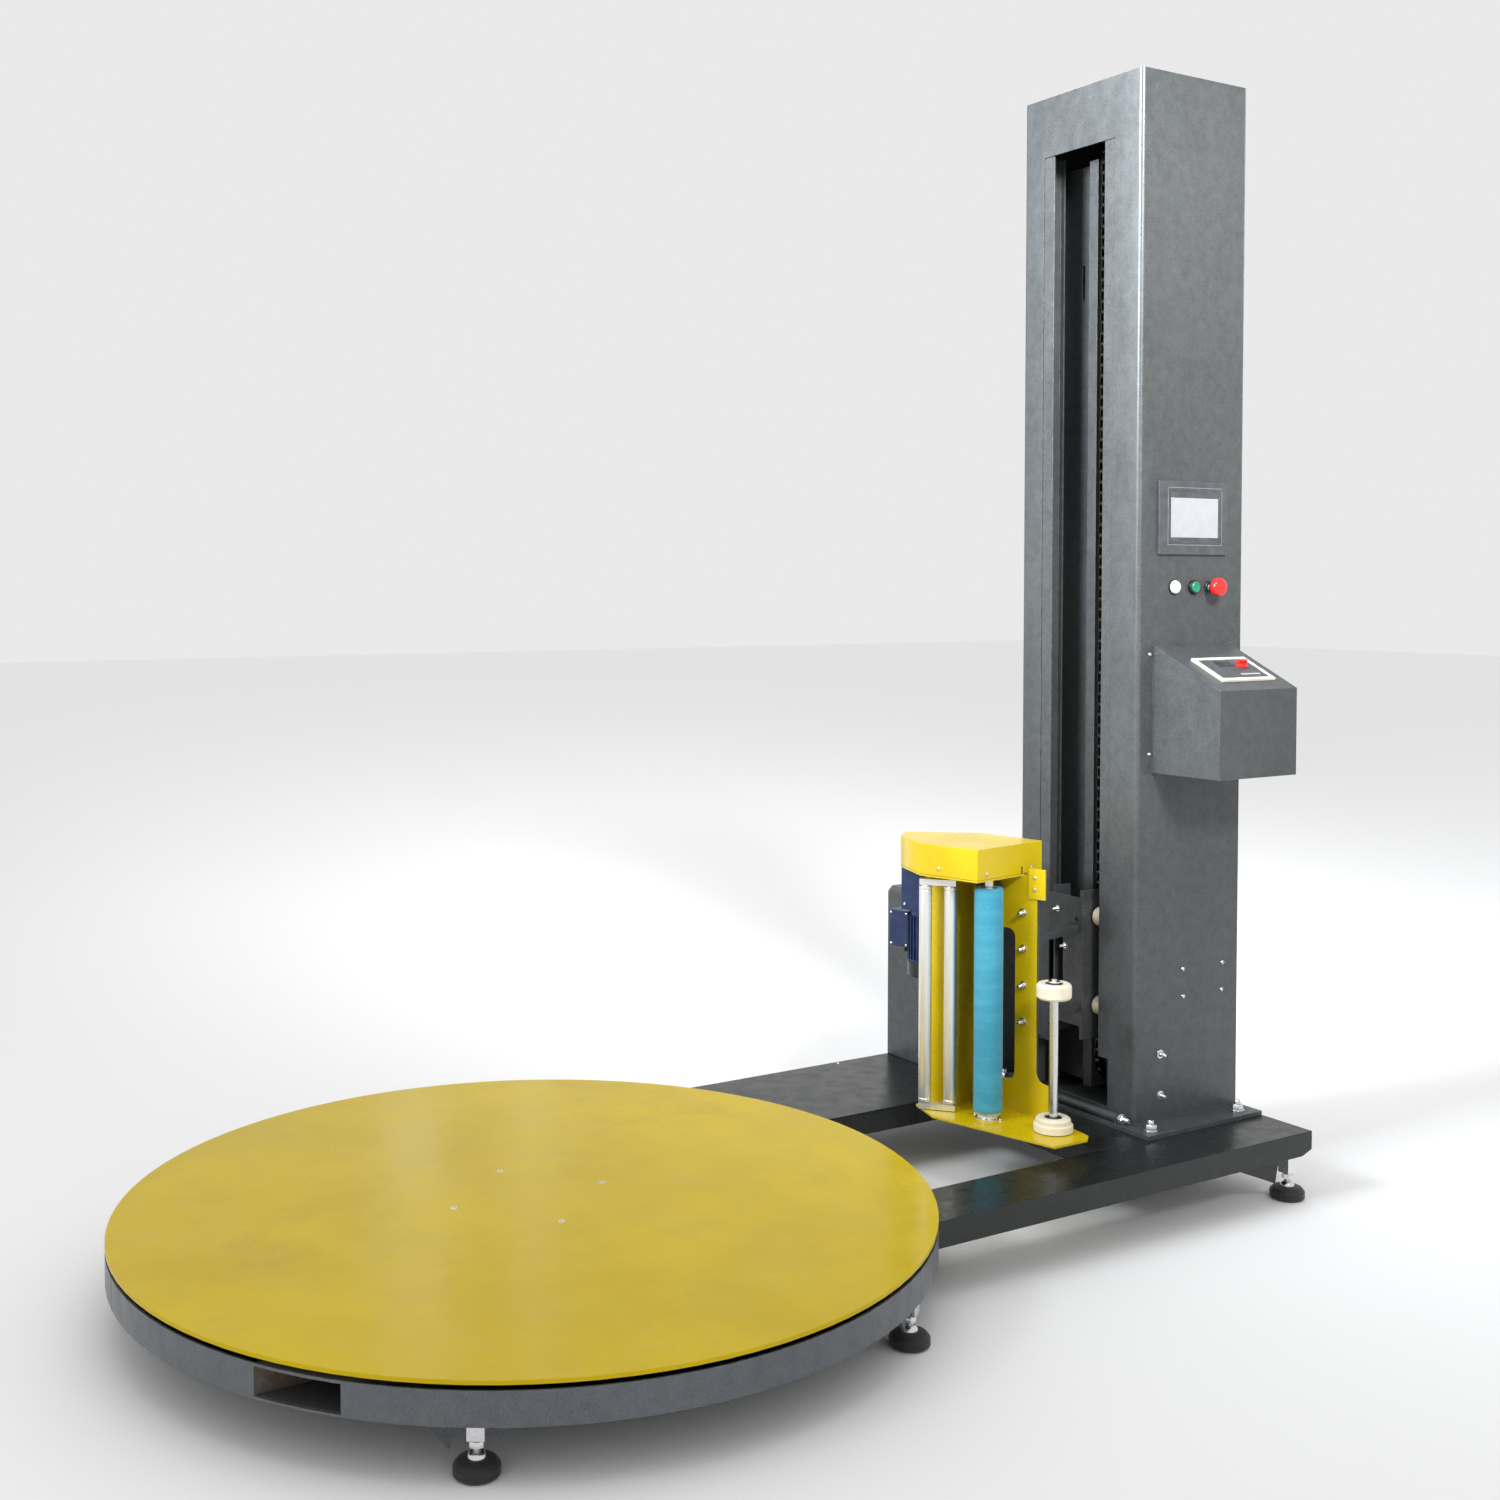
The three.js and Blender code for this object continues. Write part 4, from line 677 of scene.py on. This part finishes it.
def add_to_panel(bm, node, profile, ease=0.6):
    """Adds a round body on the operator's panel, on the middle of a CAD node, heights from the panel."""
    low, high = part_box(node)
    foot = Vector(((low.x + high.x) / 2, MAST_SIDE / 1000, (low.z + high.z) / 2))
    add_turned(bm, eased(profile, ease), foot, OPERATOR, 48)


def build_lamp():
    """Pilot lamp: a domed white lens in a thin black ring."""
    lens, ring = bmesh.new(), bmesh.new()
    dome = [(15.4, 1), (15.4, 7), (13, 11), (7, 13.6), (0, 14)]
    add_to_panel(lens, "pilot_lamp", [(0, -30), (11, -30), (11, 1), *dome], 2.0)
    piece("lamp_lens", lens, "white_lens", "frame", ["pilot_lamp"])
    rim = [(15.6, 0), (17, 0), (17, 3.4), (16.4, 4.4), (15.6, 4.4), (15.6, 0)]
    add_to_panel(ring, "pilot_lamp", rim, 0.4)
    piece("lamp_ring", ring, "black_plastic", "frame")


def build_start_button():
    """Start button: a green cap with a raised rim, in a black collar."""
    collar, cap = bmesh.new(), bmesh.new()
    shell = [(9, -30), (11, -30), (11, 0), (16.5, 0), (16.5, 6), (15, 9), (13.6, 9), (13.6, 1.2),
             (9, 1.2), (9, -30)]
    add_to_panel(collar, "start_button", shell)
    piece("start_collar", collar, "black_plastic", "frame", ["start_button_collar"])
    crown = [(13.2, 5), (13.2, 11), (11, 13), (9, 13), (7, 11.6), (0, 11.6)]
    add_to_panel(cap, "start_button", [(0, -22), (8.6, -22), (8.6, 5), *crown], 0.9)
    piece("start_cap", cap, "green_plastic", "start_button", ["start_button"])


def build_stop_button():
    """Stop button: a red mushroom head that turns on a steel stem, over a low black collar."""
    base, stem, head = bmesh.new(), bmesh.new(), bmesh.new()
    shell = [(9, -30), (11, -30), (11, 0), (15, 0), (15, 3), (13, 5), (9, 5), (9, -30)]
    add_to_panel(base, "estop_head", shell)
    piece("stop_base", base, "black_plastic", "frame", ["estop_collar"])
    add_to_panel(stem, "estop_head", [(0, -22), (8.6, -22), (8.6, 2), (6, 6), (6, 17.5), (0, 17.5)], 0.8)
    piece("stop_stem", stem, "bright_steel", "estop_plunger", ["estop_stem"])
    mushroom = [(0, 18), (13, 18), (18, 20), (22, 25), (22, 34.5), (20, 38.5), (14, 40.4), (6, 40.7),
                (0, 40.7)]
    add_to_panel(head, "estop_head", mushroom, 1.8)
    piece("stop_head", head, "red_plastic", "estop_head", ["estop_head"])


def console_slope():
    """The middle of the console's sloping face, with +Z out of it."""
    slope, down = CONSOLE_TOP["slope"], CONSOLE_TOP["down"]
    y = CONSOLE_TOP["wall"] - down * math.cos(slope)
    z = CONSOLE_TOP["back"] - down * math.sin(slope)
    return Matrix.Translation(at(CONSOLE_TOP["x"], y, z)) @ Matrix.Rotation(slope, 4, "X")


def build_slope_plate(name, slot, middle, size, level, height):
    """Adds a thin plate on the console's sloping face, level millimetres above it."""
    bm = bmesh.new()
    x, y = size[0] / 2, size[1] / 2
    lift = Matrix.Translation((middle[0] / 1000, middle[1] / 1000, level / 1000))
    add_prism(bm, [(-x, -y), (x, -y), (x, y), (-x, y)], height, console_slope() @ lift)
    piece(name, bm, slot, "frame", bevel=0.15)


def build_console():
    """The console's box, with its dark face, black control window and blank strip."""
    refined("console_box", 1.6)
    refined("console_panel", 1.2)
    refined("console_knob", 1.0)
    build_slope_plate("console_face", "bezel_grey", (0, 0), (155.5, 85.5), 4.5, 0.25)
    build_slope_plate("console_window", "black_plastic", (-10, 22), (50, 22), 4.7, 0.9)
    build_slope_plate("console_strip", "aluminium", (30, -26), (62, 6), 4.7, 0.4)
    screws = bmesh.new()
    for x in CONSOLE_SCREWS["x"]:
        for z in CONSOLE_SCREWS["z"]:
            add_button_screw(screws, at(x, CONSOLE_SCREWS["y"], z), OPERATOR, 4.8, 3.0)
    piece("console_screws", screws, "bright_steel", "frame")


# ---------------------------------------------------------------- carriage and film head

def build_carriage():
    """Carriage with its studs and black plugs, and its four nylon guide wheels."""
    refined("carriage_frame", 0.8)
    screws = bmesh.new()
    for y, z in CARRIAGE_STUDS:
        add_bolt(screws, at(CARRIAGE_FACE, y, z), TOWARD_TABLE, 8, 4)
        add_thread(screws, at(CARRIAGE_FACE - 5.6, y, z), TOWARD_TABLE, 3.2, 11, 1.2)
    piece("carriage_screws", screws, "bright_steel", "carriage")
    plugs = bmesh.new()
    for y, z in CARRIAGE_PLUGS:
        add_flush_screw(plugs, at(CARRIAGE_FACE, y, z), TOWARD_TABLE, 7.6)
    piece("carriage_plugs", plugs, "black_plastic", "carriage")
    for i in range(1, 5):
        node = f"guide_wheel_{i}"
        low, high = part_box(node)
        radius = (high.z - low.z) * 500
        width = (high.y - low.y) * 1000
        wheel = bmesh.new()
        profile = [(7.3, 0), (14, 0), (14, 1), (radius, 1), (radius, width - 1), (14, width - 1),
                   (14, width), (7.3, width), (7.3, 0)]
        foot = Vector(((low.x + high.x) / 2, low.y, (low.z + high.z) / 2))
        add_turned(wheel, eased(profile, 0.8), foot, FAR_SIDE, 40)
        piece(f"{node}_tyre", wheel, "nylon", node, [node])


def build_head():
    """Film head's sheet metal, with the bolts of its mounting slot and its cover's screws."""
    refined("head_frame", 0.7)
    refined("top_cover", 1.4)
    toward_film = head_direction(-1, 0)
    bolts = bmesh.new()
    for z in SLOT_BOLTS["heights"]:
        place = on_head(0, SLOT_BOLTS["y"], z)
        add_washer(bolts, place, toward_film, 9.5, 1.8)
        add_hex(bolts, place + toward_film * 0.0018, toward_film, 13, 8)
        add_thread(bolts, place + toward_film * 0.0098, toward_film, 4.0, 12, 1.2)
    piece("head_slot_bolts", bolts, "bright_steel", "carriage")

    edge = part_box("top_cover")[0].z * 1000
    screws = bmesh.new()
    right = head_direction(-0.117, -0.993)
    for x, y, z, outward in ((-160, 134, edge + 17, toward_film), (-128, 24.9, edge + 12, right),
                             (33, 6.0, edge + 12, right), (-4, -24, 745, toward_film),
                             (-4, -24, 718, toward_film)):
        add_button_screw(screws, on_head(x, y, z), outward, 4.6, 2.8)
    piece("head_cover_screws", screws, "bright_steel", "carriage")


def build_roller_bearing(name, centre):
    """Flanged bearing on the film head's floor, with a bolt on each side."""
    bearing = bmesh.new()
    base = Vector((centre.x, centre.y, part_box("head_frame")[0].z + HEAD_FLOOR / 1000))
    ring = [(20.6, 0), (29, 0), (29, 3), (25, 4), (24, 9), (20.6, 9), (20.6, 0)]
    add_turned(bearing, eased(ring, 0.6), base, UP, 48)
    for side in (-1, 1):
        add_bolt(bearing, base + head_direction(0, side) * 0.034, UP, 6, 3)
    piece(name, bearing, "bright_steel", "carriage")


def build_stretch_roller(node, radius, slot):
    """A roller that keeps its CAD core, with its gear and journals, under a rubber sleeve."""
    refined(node, 0.4, "bright_steel", "core")
    lowest = [v.co for v in frame["nodes"][node].data.vertices if v.co.z * 1000 < SLEEVE["low"] + 1]
    centre = sum(lowest, Vector()) / len(lowest)
    foot = Vector((centre.x, centre.y, SLEEVE["low"] / 1000))
    length, bore, ease = SLEEVE["high"] - SLEEVE["low"], SLEEVE["bore"], SLEEVE["ease"]
    profile = [(bore, 0), (radius - ease, 0), (radius, ease), (radius, length - ease),
               (radius - ease, length), (bore, length), (bore, 0)]
    sleeve = bmesh.new()
    add_turned(sleeve, eased(profile, 1.5), foot, UP, 72)
    short_name = node.replace("stretch_", "")
    piece(f"{short_name}_sleeve", sleeve, slot, node)
    build_roller_bearing(f"{short_name}_bearing", centre)


def build_dancer():
    """Dancer arm with its two aluminium rollers, grooved near both ends."""
    refined("dancer_arm", 1.0)
    for i in (1, 2):
        node = f"dancer_roller_{i}"
        low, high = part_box(node)
        radius = (high.x - low.x) * 500
        length = (high.z - low.z) * 1000
        foot = Vector(((low.x + high.x) / 2, (low.y + high.y) / 2, low.z))
        tube = bmesh.new()
        groove = radius - 0.7
        end = [(0, 0), (radius - 5, 0), (radius - 5, 2), (radius, 2), (radius, 9), (groove, 10),
               (groove, 11), (radius, 12)]
        profile = end + [(across, length - height) for across, height in reversed(end)]
        add_turned(tube, eased(profile, 0.5), foot, UP, 48)
        piece(f"{node}_tube", tube, "aluminium", node, [node])


def build_mandrel():
    """The roll holder: a steel rod between two nylon discs that turn with the roll's core."""
    refined("mandrel_rod", 0.8)
    for node in ("mandrel_base", "mandrel_top"):
        refined(node, 1.5)
        low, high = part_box(node)
        top = Vector(((low.x + high.x) / 2, (low.y + high.y) / 2, high.z - 0.004))
        hub = bmesh.new()
        ring = [(10.6, 0), (19.5, 0), (19.5, 2.2), (15, 3.4), (10.6, 3.4), (10.6, 0)]
        add_turned(hub, eased(ring, 0.5), top, UP, 40)
        piece(f"{node}_hub", hub, "black_plastic", node)


def build_head_motor():
    """Film-drive gearmotor: cooling fins, a black fan cover and cable gland, and its terminal box."""
    refined("head_gearmotor", 2.0)
    x, y, radius = MOTOR["x"], MOTOR["y"], MOTOR["radius"]
    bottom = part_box("head_gearmotor")[0].z * 1000
    fins = bmesh.new()
    for i in range(MOTOR["fins"]):
        angle = 2 * math.pi * i / MOTOR["fins"]
        outward = head_direction(math.cos(angle), math.sin(angle))
        clear_of_box = outward.dot(head_direction(0, 1)) < 0.75
        if clear_of_box:
            place = on_head(x, y, bottom + 95) + outward * (radius + 1) / 1000
            add_block(fins, place, (8, 2.2, MOTOR["fin_length"]), HEAD_TURN + angle)
    piece("head_motor_fins", fins, "motor_blue", "carriage", bevel=0.6)

    cover = bmesh.new()
    rim = [(radius + 0.3, 0), (radius + 4, 0), (radius + 4, 34), (radius + 0.3, 34), (radius + 0.3, 0)]
    add_turned(cover, eased(rim, 1.2), on_head(x, y, bottom + 2), UP, 56)
    gland = [(0, 0), (9, 0), (9, 6), (7, 8), (7, 16), (0, 16)]
    add_turned(cover, eased(gland, 0.8), on_head(x - 8, y + 62, 530), UP, 24)
    piece("head_motor_fan_cover", cover, "black_plastic", "carriage")
    build_terminal_box()


def build_terminal_box():
    """The lid on the motor's terminal box, its corner screws, and two screws on the gearbox above."""
    x, y, z = TERMINAL_BOX["x"], TERMINAL_BOX["y"], TERMINAL_BOX["z"]
    outward = head_direction(-1, 0)
    lid = bmesh.new()
    add_block(lid, on_head(x, y, z), (4, TERMINAL_BOX["width"], TERMINAL_BOX["height"]), HEAD_TURN)
    piece("head_motor_lid", lid, "motor_blue", "carriage", bevel=1.2)
    screws = bmesh.new()
    for across in (y - 22, y + 22):
        for height in (z - 38, z + 38):
            add_button_screw(screws, on_head(x - 2, across, height), outward, 3.2, 2.0)
    for across in (MOTOR["y"] - 40, MOTOR["y"] + 40):
        add_button_screw(screws, on_head(MOTOR["x"] - 50, across, z + 64), outward, 4.0, 2.4)
    piece("head_motor_screws", screws, "bright_steel", "carriage")


# ---------------------------------------------------------------- studio

def area_light(name, place, target, size, power, spread=180, colour=(1.0, 1.0, 1.0)):
    """Adds a rectangular lamp; spread is the width of its beam in degrees."""
    light = bpy.data.lights.new(name, "AREA")
    light.shape = "RECTANGLE"
    light.size, light.size_y = size
    light.energy = power
    light.spread = math.radians(spread)
    light.color = colour
    holder = bpy.data.objects.new(name, light)
    bpy.context.scene.collection.objects.link(holder)
    holder.location = place
    holder.rotation_mode = "QUATERNION"
    holder.rotation_quaternion = (Vector(target) - Vector(place)).to_track_quat("-Z", "Y")
    holder.visible_camera = False


def build_studio():
    """Pale floor and world, a cool key light on the mast's front, and two dim windows behind."""
    floor = bmesh.new()
    bmesh.ops.create_grid(floor, x_segments=1, y_segments=1, size=30)
    mesh = bpy.data.meshes.new("studio_floor")
    floor.to_mesh(mesh)
    floor.free()
    surface = Surface("studio floor")
    surface.colour((0.93, 0.93, 0.93))
    surface.roughness(0.9)
    mesh.materials.append(surface.material)
    ground = bpy.data.objects.new("studio_floor", mesh)
    bpy.context.scene.collection.objects.link(ground)
    ground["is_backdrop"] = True

    world = bpy.data.worlds.new("studio")
    world.use_nodes = True
    background = world.node_tree.nodes["Background"]
    background.inputs["Color"].default_value = (1.0, 1.0, 1.0, 1.0)
    background.inputs["Strength"].default_value = 0.82
    bpy.context.scene.world = world

    cool = (0.88, 0.94, 1.0)
    area_light("overhead", (-0.6, -0.4, 5.2), (0.0, 0.0, 0.0), (4.0, 4.0), 40)
    area_light("key", (-3.2, 0.15, 3.4), (0.95, -0.05, 2.6), (1.6, 1.6), 92, 64, cool)
    area_light("upper fill", (-0.6, -4.6, 4.4), (1.1, -0.3, 2.5), (1.4, 1.4), 48, 42)
    area_light("window one", (1.1, 4.3, 2.8), (-0.6, -0.5, 0.2), (0.28, 3.0), 2)
    area_light("window two", (1.9, 4.7, 2.8), (-0.6, -0.5, 0.2), (0.22, 3.0), 1)
    bpy.context.scene.view_settings.view_transform = "Standard"


def build_camera():
    data = bpy.data.cameras.new("camera")
    data.lens = CAMERA["lens"]
    data.sensor_width = 36.0
    data.shift_x, data.shift_y = CAMERA["shift"]
    camera = bpy.data.objects.new("camera", data)
    bpy.context.scene.collection.objects.link(camera)
    camera.location = CAMERA["place"]
    camera.rotation_euler = [math.radians(angle) for angle in CAMERA["turn"]]
    bpy.context.scene.camera = camera


build_base()
for number in range(1, 7):
    build_foot(number)
build_turntable()
build_mast()
build_lift()
build_screen()
build_lamp()
build_start_button()
build_stop_button()
build_console()
build_carriage()
build_head()
build_stretch_roller("stretch_roller_driven", 33, "blue_rubber")
build_stretch_roller("stretch_roller_second", 30.5, "foot_black")
build_dancer()
build_mandrel()
build_head_motor()
build_studio()
build_camera()

boxes = {"cad": CAD_BOX, "visual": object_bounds()}
boxes = {name: [list(corner) for corner in box] for name, box in boxes.items()}
